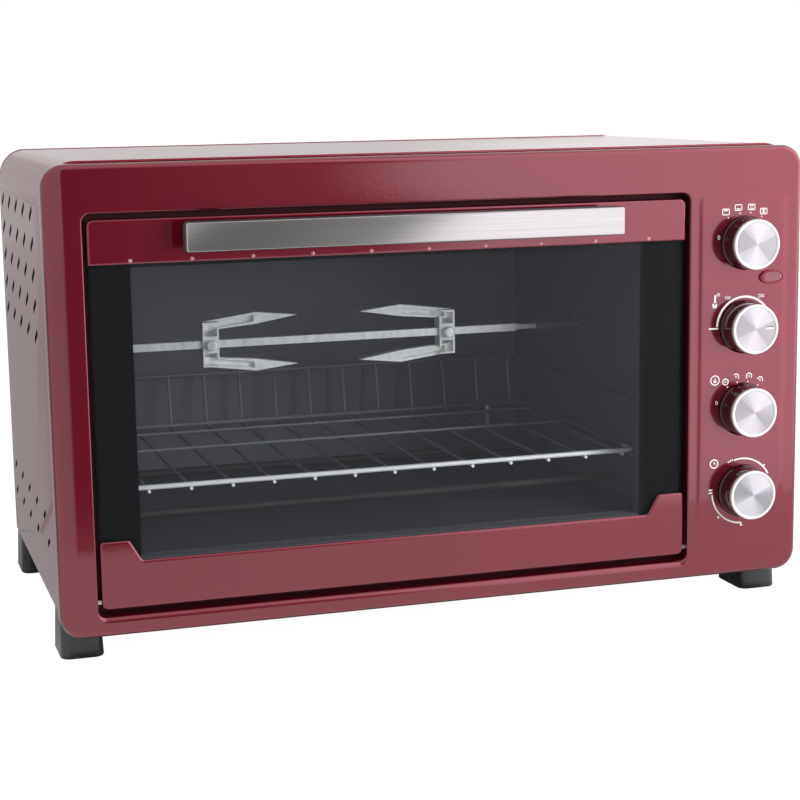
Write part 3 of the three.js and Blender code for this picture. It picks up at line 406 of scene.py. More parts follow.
def loft(loops, wrap=False, first=False, last=False, closed=True):
    """Quads between neighbouring loops of equal length: point j of loop i joins point j + 1 and
    the same two of loop i + 1. wrap joins the last loop to the first one; first and last fill
    an end loop with one flat face; closed says that each loop comes back to its start."""
    loops = np.asarray(loops)
    rows, columns = loops.shape[:2]
    i, j = np.meshgrid(
        np.arange(rows if wrap else rows - 1),
        np.arange(columns if closed else columns - 1),
        indexing="ij",
    )
    below, beside = (i + 1) % rows, (j + 1) % columns
    quads = np.stack(
        [i * columns + j, i * columns + beside, below * columns + beside, below * columns + j], -1
    )
    faces = quads.reshape(-1, 4).tolist()
    if first:
        faces.append(list(range(columns))[::-1])
    if last:
        faces.append(list(range((rows - 1) * columns, rows * columns)))
    return loops.reshape(-1, 3), faces


def solid(loops):
    """A loft whose two end loops are filled."""
    return loft(loops, first=True, last=True)


def slab(flat, front, back):
    """A flat front-view shape between two depths."""
    return solid([upright(flat, front), upright(flat, back)])


def flat_fill(loops):
    """Triangles that fill the first flat loop and leave the others as holes."""
    triangles = tessellate_polygon([[Vector(point) for point in loop] for loop in loops])
    return np.concatenate(loops), [list(triangle) for triangle in triangles]


def merged(mesh, step):
    """Merges a mesh's doubles and runs one more step on it."""
    work = bmesh.new()
    work.from_mesh(mesh)
    bmesh.ops.remove_doubles(work, verts=work.verts, dist=2e-6)
    step(work)
    work.to_mesh(mesh)
    work.free()


def outwards(work):
    bmesh.ops.recalc_face_normals(work, faces=work.faces)


def smoothed(mesh, sharp):
    """Shades a mesh smooth and keeps edges sharper than the angle crisp."""
    mesh.shade_smooth()
    mesh.set_sharp_from_angle(angle=math.radians(sharp))


def final(piece):
    """An object's mesh with its modifiers, or its text, made final."""
    bpy.context.view_layer.update()
    return bpy.data.meshes.new_from_object(piece.evaluated_get(bpy.context.evaluated_depsgraph_get()))


def dressed(name, mesh, materials, sharp):
    """A smoothed mesh with its materials, as an object."""
    smoothed(mesh, sharp)
    for material in materials:
        mesh.materials.append(material)
    return placed(name, mesh)


def shaped(name, parts, material, sharp=32.0, step=outwards):
    """One mesh object from several (points, faces) parts, with its doubles merged."""
    points = []
    faces = []
    count = 0
    for part_points, part_faces in parts:
        faces.extend([[corner + count for corner in face] for face in part_faces])
        points.append(np.asarray(part_points, float))
        count += len(part_points)
    mesh = bpy.data.meshes.new(name)
    mesh.from_pydata(np.concatenate(points).tolist(), [], faces)
    merged(mesh, step)
    return dressed(name, mesh, [material], sharp)


def settle(piece, body, slot, *replaced):
    """Puts a piece on its body and hides the CAD nodes that it stands for. slot, its finish, is not used.
    """
    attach(piece, body)
    if replaced:
        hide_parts(*replaced)


def made(name, parts, material, body, slot, *replaced, **options):
    """Shapes a piece and settles it."""
    settle(shaped(name, parts, material, **options), body, slot, *replaced)


def coat_nodes(material, *names):
    """Gives CAD nodes that show as they are their finish."""
    for name in names:
        nodes[name].data.materials.clear()
        nodes[name].data.materials.append(material)


# Front panel: one deep pressing in 1.5 mm steel with a rolled outer edge and a return flange round
# the door opening, coated in deep red gloss enamel. Its face falls back a little at the left.
enamel = finish(
    "red_enamel", (0.193, 0.0063, 0.0216), (0.207, 0.0069, 0.0234), 0.34, 0.82, (9, 3),
    (0.000012, 260, 1.5), "Coat Normal",
    Specular_IOR_Level=0.0, Coat_Weight=1.0, Coat_Roughness=0.055, Coat_IOR=1.67,
)
panel_low, panel_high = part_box("front_panel")
field_rise = 0.0004
panel_face = panel_low.y + field_rise
panel_depth = 0.0168
panel_wall = 0.0015
panel_corner = 0.017
panel_roll = 0.0046
panel_run = 0.0215
opening_run = 0.0075
crown_start = 0.2838
crown_slope = 0.075
crown_ease = 0.0022
face_inset = 0.0012
face_reach = (0.0125, 0.0015)
opening = (-0.2724, 0.0395, 0.202, 0.3348)
opening_corner = 0.0065
opening_round = 0.0012
opening_lip = 0.0006
low_round = 0.0052
arc_steps = 16


def crowned(flat, depth):
    """Front-view points stood up on the panel. Left of the crown's start the face falls back by
    a (sqrt(s^2 + b^2) - b), where s is how far out the point lies past that start."""
    past = np.maximum(-flat[:, 0] - crown_start, 0.0)
    fall = crown_slope * (np.hypot(past, crown_ease) - crown_ease)
    return upright(flat, panel_face + depth + fall)


def eight_corners(x0, z0, x1, z1, run):
    """A rectangle's corners, and two more points on its low and high side, a run from each end."""
    return np.array([
        (x0, z0), (x0 + run, z0), (x1 - run, z0), (x1, z0),
        (x1, z1), (x1 - run, z1), (x0 + run, z1), (x0, z1),
    ])


corner_mask = np.array([1, 0, 0, 1, 1, 0, 0, 1])
panel_corners = eight_corners(panel_low.x, panel_low.z, panel_high.x, panel_high.z, panel_run)
opening_corners = eight_corners(*opening, opening_run)
flange = [(panel_wall, panel_depth)]
outer_steps = [(0.0, panel_depth)] + rolled(panel_roll, 13)[::-1]
inner_steps = rolled(panel_roll - panel_wall, 7)
back_steps = [(panel_wall + inset, panel_wall + depth) for inset, depth in inner_steps]
door_steps = [(opening_round + opening_lip, 0.0)] + rolled(opening_round, 13)
door_steps += [(0.0, panel_depth), (panel_wall, panel_depth), (panel_wall, panel_wall)]
low_side = outline(opening_corners, opening_corner * corner_mask, 0.0, arc_steps)[:, 1]
low_share = np.clip((opening[1] + opening_corner - low_side) / opening_corner, 0, 1)
low_more = low_share * (low_round / opening_round - 1)


def panel_ring(corners, radius, inset, depth):
    return crowned(outline(corners, radius * corner_mask, inset, arc_steps), depth)


panel_loops = [panel_ring(panel_corners, panel_corner, *step) for step in outer_steps]
for share in np.linspace(0, 1, 10):
    left_in, in_by = (panel_roll + face_inset + reach * share for reach in face_reach)
    flat_corners = eight_corners(
        panel_low.x + left_in, panel_low.z + in_by, panel_high.x - in_by, panel_high.z - in_by,
        panel_run - panel_roll,
    )
    panel_loops.append(panel_ring(flat_corners, panel_corner - panel_roll, 0.0, 0.0))
for grow, depth in door_steps:
    flat = outline(opening_corners, opening_corner * corner_mask, -grow, arc_steps)
    if depth <= opening_round:
        flat[:, 1] -= low_more * min(grow, opening_round)
        depth = depth * (1 + low_more)
    panel_loops.append(crowned(flat, depth))
panel_loops += [panel_ring(panel_corners, panel_corner, *step) for step in back_steps + flange]
panel_part = loft(panel_loops, wrap=True)
made("front_panel_skin", [panel_part], enamel, "cabinet", "red_enamel", "front_panel")

# Control field: the panel is pressed forward a little round the four knobs, with a wide soft
# shoulder all round, and coated with the rest of the panel.
field_left_gap = 0.0055
field_right_gap = 0.011
field_corner = 0.007
field_shoulder = 0.0072
field_lip = 0.0008
field_left, field_right = opening[2] + field_left_gap, panel_high.x - field_right_gap
field_corners = rectangle(field_left, opening[1], field_right, opening[3])
field_steps = [(0.0, field_rise)]
field_steps += [(field_shoulder * share, -field_rise * smooth(share)) for share in np.linspace(0, 1, 9)]
field_steps += [(field_shoulder + field_lip, -field_rise)]
field_loops = [crowned(outline(field_corners, field_corner, inset), depth) for inset, depth in field_steps]
made("control_field", [loft(field_loops, last=True)], enamel, "cabinet", "red_enamel", "front_panel")

# Outer casing: one 0.8 mm sheet bent over the top and both sides, with a raised hem at its front
# and rear edge. Each side has a field pressed outwards, 25 slanted slots and ten short ones.
casing_coat = finish(
    "casing_enamel", (0.315, 0.022, 0.047), (0.345, 0.026, 0.053), 0.42, 0.5, (14, 3),
    (0.00002, 220, 2), "Coat Normal",
    Specular_IOR_Level=0.0, Coat_Weight=1.0, Coat_Roughness=0.09, Coat_IOR=1.55,
)
# The walls of the slots take a near-black red: painted shade inside the slots.
slot_wall_painted_shade = finish("slot_wall_painted_shade", (0.026, 0.005, 0.009), (0.034, 0.007, 0.011), 0.6)

casing_low, casing_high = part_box("outer_casing")
casing_sheet = 0.0008
casing_side = 0.2962
casing_bend = 0.022
casing_lift = 0.0030
press_rise = casing_high.x - casing_side
press_slope = 0.0045
press_gaps = (0.008, 0.019, 0.005, 0.0012)
casing_shoulder = casing_high.z - casing_bend
press_left = casing_low.y + press_gaps[0]
press_right = casing_high.y - press_gaps[1]
press_floor = casing_low.z + press_gaps[2]
press_top = casing_shoulder - press_gaps[3]
press_places = ((0.0, 0.282), (0.085, 0.243), (0.36, 0.117), (0.915, 0.0), (1.0, 0.03))
press_radii = (0.010, 0.012, 0.012, 0.010, 0.006, 0.008, 0.008)
press_span = np.array((press_right - press_left, casing_shoulder - press_floor))
press_corners = np.concatenate([
    (press_left, press_floor) + np.array(press_places) * press_span,
    [(press_right, press_top), (press_left, press_top)],
])

side_border = rectangle(casing_low.y, casing_low.z, casing_high.y, casing_shoulder)
casing_parts = []
for hand in (-1, 1):
    foot = sideways(outline(press_corners, press_radii), hand * casing_side)
    casing_parts.append(flat_fill([sideways(side_border, hand * casing_side), foot]))
    casing_parts.append(loft([
        sideways(
            outline(press_corners, press_radii, press_slope * share),
            hand * (casing_side + press_rise * smooth(share)),
        )
        for share in np.linspace(0, 1, 7)
    ], last=True))
bend = np.linspace(0, math.pi / 2, 13)
bend_x = casing_side - casing_bend * (1 - np.cos(bend))
bend_z = casing_shoulder + (casing_bend + casing_lift) * np.sin(bend)


def arched(flat_x, flat_z, y):
    """The casing's arch at depth y, from its right half."""
    return upright(np.column_stack([
        np.concatenate([flat_x, -flat_x[::-1]]), np.concatenate([flat_z, flat_z[::-1]]),
    ]), y)


arch_loops = [arched(bend_x, bend_z, y) for y in (casing_low.y, casing_high.y)]
casing_parts.append(loft(arch_loops, closed=False))
casing_skin = shaped("casing_skin", casing_parts, casing_coat)

slot_size = (0.022, 0.0055)
low_slot_size = (0.017, 0.0045)
slot_tilt = math.radians(-27)
slot_round = 0.6
slot_reach = (0.089, 0.297)
slot_drop, slot_pitch = 0.039, 0.0232
low_slot_lift, low_slot_pitch = 0.045, 0.0225
slot_columns = panel_face + np.linspace(*slot_reach, 5)
slot_rows = panel_high.z - slot_drop - slot_pitch * np.arange(5)
low_rows = casing_low.z + low_slot_lift + low_slot_pitch * np.arange(2)
punch_reach = (0.285, 0.305)
tilt_turn = np.array([
    (math.cos(slot_tilt), math.sin(slot_tilt)), (-math.sin(slot_tilt), math.cos(slot_tilt)),
])
punches = []
for (length, width), rows in ((slot_size, slot_rows), (low_slot_size, low_rows)):
    half, end = length / 2, width / 2
    slot = outline(rectangle(-half, -end, half, end), slot_round * end, steps=6) @ tilt_turn
    for y in slot_columns:
        for z in rows:
            for hand in (-1, 1):
                punches.append(solid([sideways(slot + (y, z), hand * x) for x in punch_reach]))
punch = shaped("casing_punch", punches, slot_wall_painted_shade)
wall = casing_skin.modifiers.new("wall", "SOLIDIFY")
wall.thickness = casing_sheet
wall.offset = -1
wall.use_even_offset = True
cut = casing_skin.modifiers.new("slots", "BOOLEAN")
cut.operation = "DIFFERENCE"
cut.solver = "EXACT"
cut.use_self = True
cut.material_mode = "TRANSFER"
cut.object = punch
pressed = final(casing_skin)
casing_skin.modifiers.clear()
casing_skin.data = pressed
smoothed(pressed, 32)
bpy.data.objects.remove(punch)
settle(casing_skin, "cabinet", "red_enamel", "outer_casing")

hem_height = 0.0005
hem_width = 0.0060
hem_gap = 0.0004
hem_steps = (
    (0.0, -0.3), (0.0, 0.72), (0.0003, 0.90), (0.0009, 1.0), (0.0022, 0.97), (0.0036, 0.72),
    (0.0050, 0.25), (hem_width, 0.0), (hem_width, -0.3),
)
hem_parts = []
for hem_start, steps in (
    (panel_face + panel_depth + hem_gap, hem_steps), (casing_high.y - hem_width, hem_steps[::-1]),
):
    rows = []
    for run, share in steps:
        over = hem_height * share * np.sin(bend)
        rows.append(arched(bend_x + over * np.cos(bend), bend_z + over * np.sin(bend), hem_start + run))
    hem_parts.append(solid(np.swapaxes(rows, 0, 1)))
made("casing_hems", hem_parts, casing_coat, "cabinet", "red_enamel", "outer_casing")

# Feet: moulded black blocks, wider at the table than at the cabinet, each pushed up against the
# base and held by a screw from inside.
black_plastic = finish(
    "black_plastic", (0.0097, 0.011, 0.0142), (0.0123, 0.014, 0.0178), 0.42, 0.0, (40, 3),
    (0.000035, 1800, 2), Coat_Weight=0.45, Coat_Roughness=0.10, Coat_IOR=1.6,
)
foot_round = 0.0016
foot_taper = 0.0015
foot_corner = 0.0078
foot_shift = 0.0015
for foot_name in ("foot_front_left", "foot_front_right", "foot_rear_left", "foot_rear_right"):
    low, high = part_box(foot_name)
    foot_corners = rectangle(low.x + foot_shift, low.y, high.x + foot_shift, high.y)
    levels = [(inset, low.z + height) for inset, height in rolled(foot_round)]
    levels += [(foot_taper * share, low.z + share * (high.z - low.z)) for share in (0.12, 0.55, 1.0)]
    foot_loops = [lying(outline(foot_corners, foot_corner, inset), z) for inset, z in levels]
    made(foot_name + "_moulding", [solid(foot_loops)], black_plastic, "cabinet", "black_plastic", foot_name)

# Rear panel and base: plain zinc-plated sheets that close the cabinet. The rear one is louvred
# behind the cavity, held by six pan-head screws, and carries the bush for the mains lead.
galvanised, tree, shader = surfaced("galvanised", 0.42, 0.75)
spangle = tree.add("TexVoronoi")
spangle.inputs["Scale"].default_value = 110
tree.join(tree.add("TexCoord").outputs["Object"], spangle.inputs["Vector"])
tree.toned(spangle.outputs["Color"], (0.34, 0.36, 0.37), (0.50, 0.52, 0.53), shader, (0.1, 0.9))
tree.relief(tree.grain(900, 2), 0.00001, shader)
coat_nodes(galvanised, "base_plate")

rear_low, rear_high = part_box("rear_panel")
rear_back = casing_high.y
rear_front = rear_back - casing_sheet
rear_corner = 0.0209
gland_low, gland_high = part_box("cord_gland")
gland_middle = middle("cord_gland")
gland_x, _, gland_z = gland_middle
gland_hole = 0.0083
louvre_half = (0.002, 0.012)
louvre_gaps = (0.040, 0.034)
louvre_drop = 0.1182
louvre_corner = 0.00195

rear_loops = [outline(rectangle(rear_low.x, rear_low.z, rear_high.x, rear_high.z), rear_corner)]
rear_loops.append(circle(gland_hole, gland_x, gland_z))
louvre = outline(rectangle(-louvre_half[0], -louvre_half[1], *louvre_half), louvre_corner, steps=5)
for column in range(9):
    for row in range(3):
        louvre_place = ((column - 4) * louvre_gaps[0], casing_high.z - louvre_drop + row * louvre_gaps[1])
        rear_loops.append(louvre + louvre_place)
rear_parts = [flat_fill([upright(loop, y) for loop in rear_loops]) for y in (rear_front, rear_back)]
rear_parts += [loft([upright(loop, rear_front), upright(loop, rear_back)]) for loop in rear_loops]
made("rear_panel_sheet", rear_parts, galvanised, "cabinet", "galvanised", "rear_panel")

screw_metal = finish(
    "zinc_screw", (0.44, 0.44, 0.42), (0.60, 0.60, 0.58), 0.30, 1.0, (700, 2), (0.000006, 2500, 2)
)
screw_radius = 0.0042
screw_head = 0.0022
screw_inset = 0.014
cross_reach = 0.0019
cross_half = 0.00045
recess = 0.0011
head_rings = ((1.0, 0.0), (1.0, 0.35), (0.93, 0.68), (0.80, 0.88), (0.62, 0.98), (0.54, 1.0))
a, b = cross_half, cross_reach
cross = np.array([
    (b, -a), (b, a), (a, a), (a, b), (-a, b), (-a, a),
    (-b, a), (-b, -a), (-a, -a), (-a, -b), (a, -b), (a, -a),
])
cross_way = cross / np.linalg.norm(cross, axis=1, keepdims=True)
screw_heads = []
for x in (rear_low.x + screw_inset, 0.0, rear_high.x - screw_inset):
    for z in (rear_low.z + screw_inset, rear_high.z - screw_inset):
        head_loops = [
            upright(cross_way * screw_radius * share + (x, z), rear_back + screw_head * height)
            for share, height in head_rings
        ]
        head_loops += [upright(cross + (x, z), rear_back + screw_head - sunk) for sunk in (0, recess)]
        screw_heads.append(loft(head_loops, last=True))
made("rear_screws", screw_heads, screw_metal, "cabinet", "galvanised", "rear_panel", sharp=40)

bush_waist = rear_back + 0.0003
bush_profile = near(gland_low.y, (3.6, 0), (8, 0))
bush_profile += near(bush_waist, (8, 0), (11, 0), (11, 1.8), (10.5, 2.6))
bush_profile += near(gland_high.y, (8.5, -0.8), (7.8, 0), (4.2, 0), (3.6, -0.6))
made(
    "lead_bush", [loft(lathe(bush_profile, 1, gland_middle, 48), wrap=True)], black_plastic,
    "cabinet", "black_plastic", "cord_gland",
)

# Cavity: side walls and roof bent from one sheet, a rear wall, a floor and the frame of the
# mouth, all under a dark grey heat-resistant coat, with a rack guide on each side wall. The
# mouth frame is painted a near-black red instead: painted shade of the gap round the door.
cavity_coat = finish(
    "cavity_coat", (0.142, 0.148, 0.164), (0.158, 0.164, 0.180), 0.55, 0.2, (420, 3), (0.00002, 420, 3)
)
mouth_painted_shade = finish("mouth_painted_shade", (0.046, 0.0045, 0.0072), (0.054, 0.0055, 0.0088), 0.6)
coat_nodes(mouth_painted_shade, "mouth_frame")
coat_nodes(
    cavity_coat, "cavity_shell", "cavity_rear_wall", "cavity_floor", "rack_guide_left", "rack_guide_right"
)

# Heating rods: two under the roof and two over the floor, oxidised steel tubes that pass through
# the side walls in ceramic collars, with a terminal stud at each end.
sheath = finish(
    "heater_sheath", (0.045, 0.042, 0.040), (0.085, 0.078, 0.070), 0.55, 0.6, (60, 4, (0.3, 1, 1)),
    (0.00002, 1500, 2),
)
wall_left, wall_right = -0.2511, 0.1811
for rod_name in ("upper_element_front", "upper_element_rear", "lower_element_front", "lower_element_rear"):
    low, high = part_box(rod_name)
    rod_profile = near(low.x, (0.8, 0), (2, 0.5), (2, 7), (6.3, 7), (7, 7.7))
    rod_profile += near(wall_left, (7, 0), (3.5, 0)) + near(wall_right, (3.5, 0), (7, 0))
    rod_profile += near(high.x, (7, -7.7), (6.3, -7), (2, -7), (2, -0.5), (0.8, 0))
    made(
        rod_name + "_tube", [solid(lathe(rod_profile, 0, middle(rod_name)))], sheath,
        "cabinet", "heater_sheath", rod_name,
    )

# Thermostat bulb: a plated probe with domed ends, clipped upright to the rear wall beside the
# drive.
chrome = finish(
    "chrome_wire", (0.80, 0.81, 0.82), (0.90, 0.91, 0.92), 0.24, 0.55, (90, 3), (0.000006, 1200, 2)
)
bulb_low, bulb_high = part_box("thermostat_bulb")
bulb_radius = (bulb_high.x - bulb_low.x) / 2
dome = np.linspace(0.12, math.pi / 2, 6)
bulb_profile = [(bulb_radius * math.sin(a), bulb_low.z + bulb_radius * (1 - math.cos(a))) for a in dome]
bulb_profile += [(r, bulb_low.z + bulb_high.z - z) for r, z in bulb_profile[::-1]]
made(
    "thermostat_probe", [solid(lathe(bulb_profile, 2, middle("thermostat_bulb")))], chrome,
    "cabinet", "chrome_wire", "thermostat_bulb",
)

# Door bands: pressed red strips that wrap the edges of the glass. The top one has a row of ten
# small dimples, the lower one rises to a tab at each end over the hinge.
band_low, band_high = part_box("door_top_band")
low_band_low, low_band_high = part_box("door_low_band")
band_sheet = 0.0008
band_round = 0.0016
band_lip = 0.0005
band_corner = 0.005
free_corner = 0.0004
free_reach = 0.0011
tab_width = 0.022
tab_slope = 0.009
tab_rise = 0.0155
tab_free = 0.003


def band(name, corners, radii, free_edge):
    """A shallow tray open to the rear: rings of its outline go over the rounded front edge, back
    to the glass, in by the sheet and forward again inside. Where free_edge says so, the edge is
    only as deep as the sheet, so that the glass can pass behind it."""
    low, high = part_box(name)
    deep = high.y - low.y
    steps = [(band_round + band_lip, 0.0)] + rolled(band_round)
    steps += [(0.0, deep), (band_sheet, deep), (band_sheet, band_sheet)]
    loops = []
    for inset, back in steps:
        flat = outline(corners, radii, inset)
        loops.append(upright(flat, low.y + np.where(free_edge(flat), min(back, band_sheet), back)))
    made(name + "_pressing", [solid(loops)], enamel, "door", "red_enamel", name)


band(
    "door_top_band", rectangle(band_low.x, band_low.z, band_high.x, band_high.z),
    (free_corner, free_corner, band_corner, band_corner),
    lambda flat: flat[:, 1] < band_low.z + free_reach,
)
shelf = low_band_high.z - tab_rise
left_tab = low_band_low.x + tab_width
right_tab = low_band_high.x - tab_width
low_corners = np.array([
    (low_band_low.x, low_band_low.z), (low_band_high.x, low_band_low.z),
    (low_band_high.x, low_band_high.z), (right_tab, low_band_high.z), (right_tab - tab_slope, shelf),
    (left_tab + tab_slope, shelf), (left_tab, low_band_high.z), (low_band_low.x, low_band_high.z),
])
low_radii = (band_corner, band_corner, 0.0025, 0.003, 0.003, 0.003, 0.003, 0.0025)
band(
    "door_low_band", low_corners, low_radii,
    lambda flat: (flat[:, 1] > shelf - tab_free)
    & (flat[:, 0] > low_band_low.x + free_reach) & (flat[:, 0] < low_band_high.x - free_reach),
)

# The dimples are pressed in the band but take a pale pink, far lighter than its enamel: painted highlight,
# so that they show as bright dots.
dimple_painted_highlight = finish(
    "dimple_painted_highlight", (0.42, 0.15, 0.16), (0.48, 0.17, 0.18), 0.3, 0.5, (90, 2),
    Coat_Weight=1.0, Coat_Roughness=0.12, Coat_IOR=2.2,
)
dimple_radius = 0.0015
dimple_rise = 0.0006
dimple_height = 0.0024
dimple_span = (-0.239, 0.1666)
dimple_front = band_low.y + 0.0001
dimple_profile = [
    (dimple_radius * math.sin(a), dimple_front - dimple_rise * math.cos(a))
    for a in np.linspace(math.pi / 2, 0.2, 6)
]
dimples = [
    loft(lathe(dimple_profile, 1, (x, 0, band_low.z + dimple_height), 20), last=True)
    for x in np.linspace(*dimple_span, 10)
]
made("band_dimples", dimples, dimple_painted_highlight, "door", "red_enamel", "door_top_band")

# Door glass: one 4 mm pane of tinted toughened glass, held between the bands and the inner
# frame, with a black border printed down each side of its rear face and along its top behind the
# band. The top strip reaches 2.8 mm below the band, where it is a painted shade line under the band.
glass_tint = (0.90, 0.91, 0.92, 1)
glass_polish = (0.12, 0.12, 0.12, 1)
glass_dust = (0.55, 0.56, 0.62, 1)
glass_haze = (0.006, 0.019)
haze_edge = (0.1620, 0.1600)
haze_start = (-0.2390, -0.2370)
pane = bpy.data.materials.new("door_glass")
tree = Tree(pane)
polish = tree.feed(tree.add("BsdfGlossy"), glass_polish, 0.03)
rim = tree.feed(tree.add("Fresnel"), 1.13)
x, _, _ = tree.place()
hazy = tree.math("MINIMUM", tree.slope(x, *haze_edge, *glass_haze), tree.slope(x, *haze_start, *glass_haze))
through = tree.feed(tree.add("BsdfTransparent"), glass_tint)
surface = tree.blended(hazy, through, tree.feed(tree.add("BsdfDiffuse"), glass_dust))
tree.feed(tree.add("OutputMaterial"), tree.blended(rim, surface, polish))
coat_nodes(pane, "door_glass")

print_ink_and_painted_shade = finish(
    "border_print_and_painted_shade", (0.0066, 0.0078, 0.0074), (0.0074, 0.0086, 0.0082), 0.5, Specular_IOR_Level=0.05
)
glass_low, glass_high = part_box("door_glass")
window_left, window_right = -0.2385, 0.1615
ink_front = glass_high.y + 0.00004
ink_back = glass_high.y + 0.00014
ink_and_shade_strips = (
    (glass_low.x, glass_low.z, window_left, glass_high.z),
    (window_right, glass_low.z, glass_high.x, glass_high.z),
    # Behind the top band, and 2.8 mm below it as painted shade of the gap under its lip.
    (window_left, band_low.z - 0.0028, window_right, band_low.z + 0.004),
)
borders = [slab(rectangle(*strip), ink_front, ink_back) for strip in ink_and_shade_strips]
made("glass_border", borders, print_ink_and_painted_shade, "door", "door_glass")

# Door inner frame and hinges: a coated channel all round behind the glass. A steel pin through
# each lower corner turns in a bracket that is welded behind the panel.
coat_nodes(cavity_coat, "door_inner_frame")
coat_nodes(galvanised, "hinge_bracket_left", "hinge_bracket_right")
for name in ("hinge_pin_left", "hinge_pin_right"):
    low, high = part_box(name)
    pin_profile = near(low.x, (1.4, 0), (2, 0.6)) + near(high.x, (2, -0.6), (1.4, 0))
    made(
        name + "_turned", [solid(lathe(pin_profile, 0, middle(name)))], chrome, "door", "chrome_wire", name
    )

# Handle: a flat steel bar, brushed along its length, on two short black posts that are screwed
# through the top band. A thin black plate a little larger than the bar sits behind it: painted
# shade round the bar's edges. bar_bow turns what the bar mirrors a little.
brush_depth = 0.0000006
bar_bow = math.tan(math.radians(1.4))
brushed, tree, shader = surfaced(
    "brushed_steel", 0.20, 0.88, Anisotropic=0.96, Anisotropic_Rotation=0.25
)
streak = tree.grain(1, 4, (6, 2600, 2600), 0.6)
tree.toned(streak, (0.435, 0.425, 0.42), (0.52, 0.51, 0.50), shader)
x, _, _ = tree.place()
tree.relief(tree.math("MULTIPLY_ADD", x, bar_bow / brush_depth, streak), brush_depth, shader)
tree.join(tree.feed(tree.add("CombineXYZ"), 1.0), shader.inputs["Tangent"])

bar_low, bar_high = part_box("handle_bar")
bar_corners = rectangle(bar_low.x, bar_low.z, bar_high.x, bar_high.z)
bar_corner = 0.0015
bar_round = 0.0006
shade_line_border = 0.0009
shade_line_corner = bar_corner + 0.0006
shade_line_depths = (bar_high.y - 0.0010, bar_high.y + 0.0004)
bar_steps = [(inset, bar_low.y + back) for inset, back in rolled(bar_round)]
bar_steps += [(inset, bar_high.y + bar_low.y - y) for inset, y in bar_steps[::-1]]
made(
    "handle_bar_steel", [solid(stood(bar_corners, bar_corner, bar_steps))], brushed,
    "door", "brushed_steel", "handle_bar", sharp=50,
)
# A black plate behind the bar, 0.9 mm larger all round: painted shade round the bar's edges.
shade_line_steps = [(-shade_line_border, y) for y in shade_line_depths]
made(
    "handle_shade_line", [solid(stood(bar_corners, shade_line_corner, shade_line_steps))], black_plastic,
    "door", "brushed_steel", "handle_bar",
)

post_corner = 0.003
for name in ("handle_post_left", "handle_post_right"):
    low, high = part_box(name)
    corners = rectangle(low.x, low.z, high.x, high.z)
    steps = near(low.y, (0.8, 0)) + near(high.y, (0.8, -4), (0.2, -0.8), (0, 0))
    made(
        name + "_moulding", [solid(stood(corners, post_corner, steps))], black_plastic,
        "door", "black_plastic", name,
    )

# Knobs: glossy burgundy mouldings with a low skirt, each with a spun aluminium disc let into its
# face behind a bright turned rim, on a steel shaft from the control behind.
knob_gloss = finish(
    "red_plastic", (0.033, 0.0022, 0.0055), (0.039, 0.0026, 0.0065), 0.24, 0.0, (60, 2),
    Specular_IOR_Level=0.0, Coat_Weight=1.0, Coat_Roughness=0.04, Coat_IOR=1.5,
)
# The disc's colour is painted by angle, full above and below its middle and darker to the left and right:
# painted highlight and shade of the wedges that spun metal shows.
painted_sector_shade = 0.80
painted_sector_edges = (
    (0.056, painted_sector_shade), (0.070, 1.0), (0.368, 1.0), (0.382, painted_sector_shade),
    (0.556, painted_sector_shade), (0.570, 1.0), (0.847, 1.0), (0.861, painted_sector_shade),
)
spun_relief = 0.0000006
spun, tree, shader = surfaced("spun_aluminium", 0.30, 1.0, Anisotropic=0.97, Anisotropic_Rotation=0.25)
turn_uv = tree.add("UVMap", uv_map="turn").outputs[0]
rings = tree.grain(1, 3, (2, 60, 1), point=turn_uv)
tree.toned(rings, (0.56, 0.56, 0.57), (0.60, 0.60, 0.61), shader)
painted_sector_turn = tree.add("SeparateXYZ")
painted_sectors = tree.add("ValToRGB")
for element in painted_sectors.color_ramp.elements:
    element.color = (painted_sector_shade, painted_sector_shade, painted_sector_shade, 1)
for place, gain in painted_sector_edges:
    painted_sectors.color_ramp.elements.new(place).color = (gain, gain, gain, 1)
tree.feed(painted_sectors, tree.feed(painted_sector_turn, turn_uv))
both = tree.add("Mix", data_type="RGBA", blend_type="MULTIPLY")
both.inputs[0].default_value = 1.0
tree.join(shader.inputs["Base Color"].links[0].from_socket, both.inputs[6])
tree.join(painted_sectors.outputs[0], both.inputs[7])
tree.join(both.outputs[2], shader.inputs["Base Color"])
tree.relief(rings, spun_relief, shader)
tree.join(tree.add("Tangent", direction_type="UV_MAP", uv_map="turn").outputs[0], shader.inputs["Tangent"])
rim_polish = finish("turned_rim", (0.89, 0.89, 0.90), (0.95, 0.95, 0.96), 0.45, 0.6, (200, 2))


def closed_outwards(work):
    bmesh.ops.holes_fill(work, edges=work.edges, sides=0)
    outwards(work)


def turned(name, profile, x, z, materials, rim_rings=0, count=96):
    """A turned piece with a UV map: u is the angle in turns, v the length along the profile. The
    ends of the profile lie near the axis and each is closed by one face. The first rim_rings
    bands of faces take the second material."""
    profile = np.asarray(profile, float)
    angle = np.linspace(0, 2 * math.pi, count + 1)
    rings = np.stack([
        x + profile[:, :1] * np.cos(angle),
        np.broadcast_to(profile[:, 1:], (len(profile), count + 1)),
        z + profile[:, :1] * np.sin(angle),
    ], -1)
    run = np.concatenate([[0], np.cumsum(np.linalg.norm(np.diff(profile, axis=0), axis=1))])
    u, v = np.meshgrid(np.linspace(0, 1, count + 1), run / run[-1])
    points, faces = loft(rings, closed=False)
    mesh = bpy.data.meshes.new(name)
    mesh.from_pydata(points.tolist(), [], faces)
    corners = np.array(faces).ravel()
    layer = mesh.uv_layers.new(name="turn")
    layer.data.foreach_set("uv", np.column_stack([u.ravel()[corners], v.ravel()[corners]]).ravel())
    finishes = (np.arange(len(faces)) < rim_rings * count).astype(np.int32)
    mesh.polygons.foreach_set("material_index", finishes)
    merged(mesh, closed_outwards)
    return dressed(name, mesh, materials, 32.0)


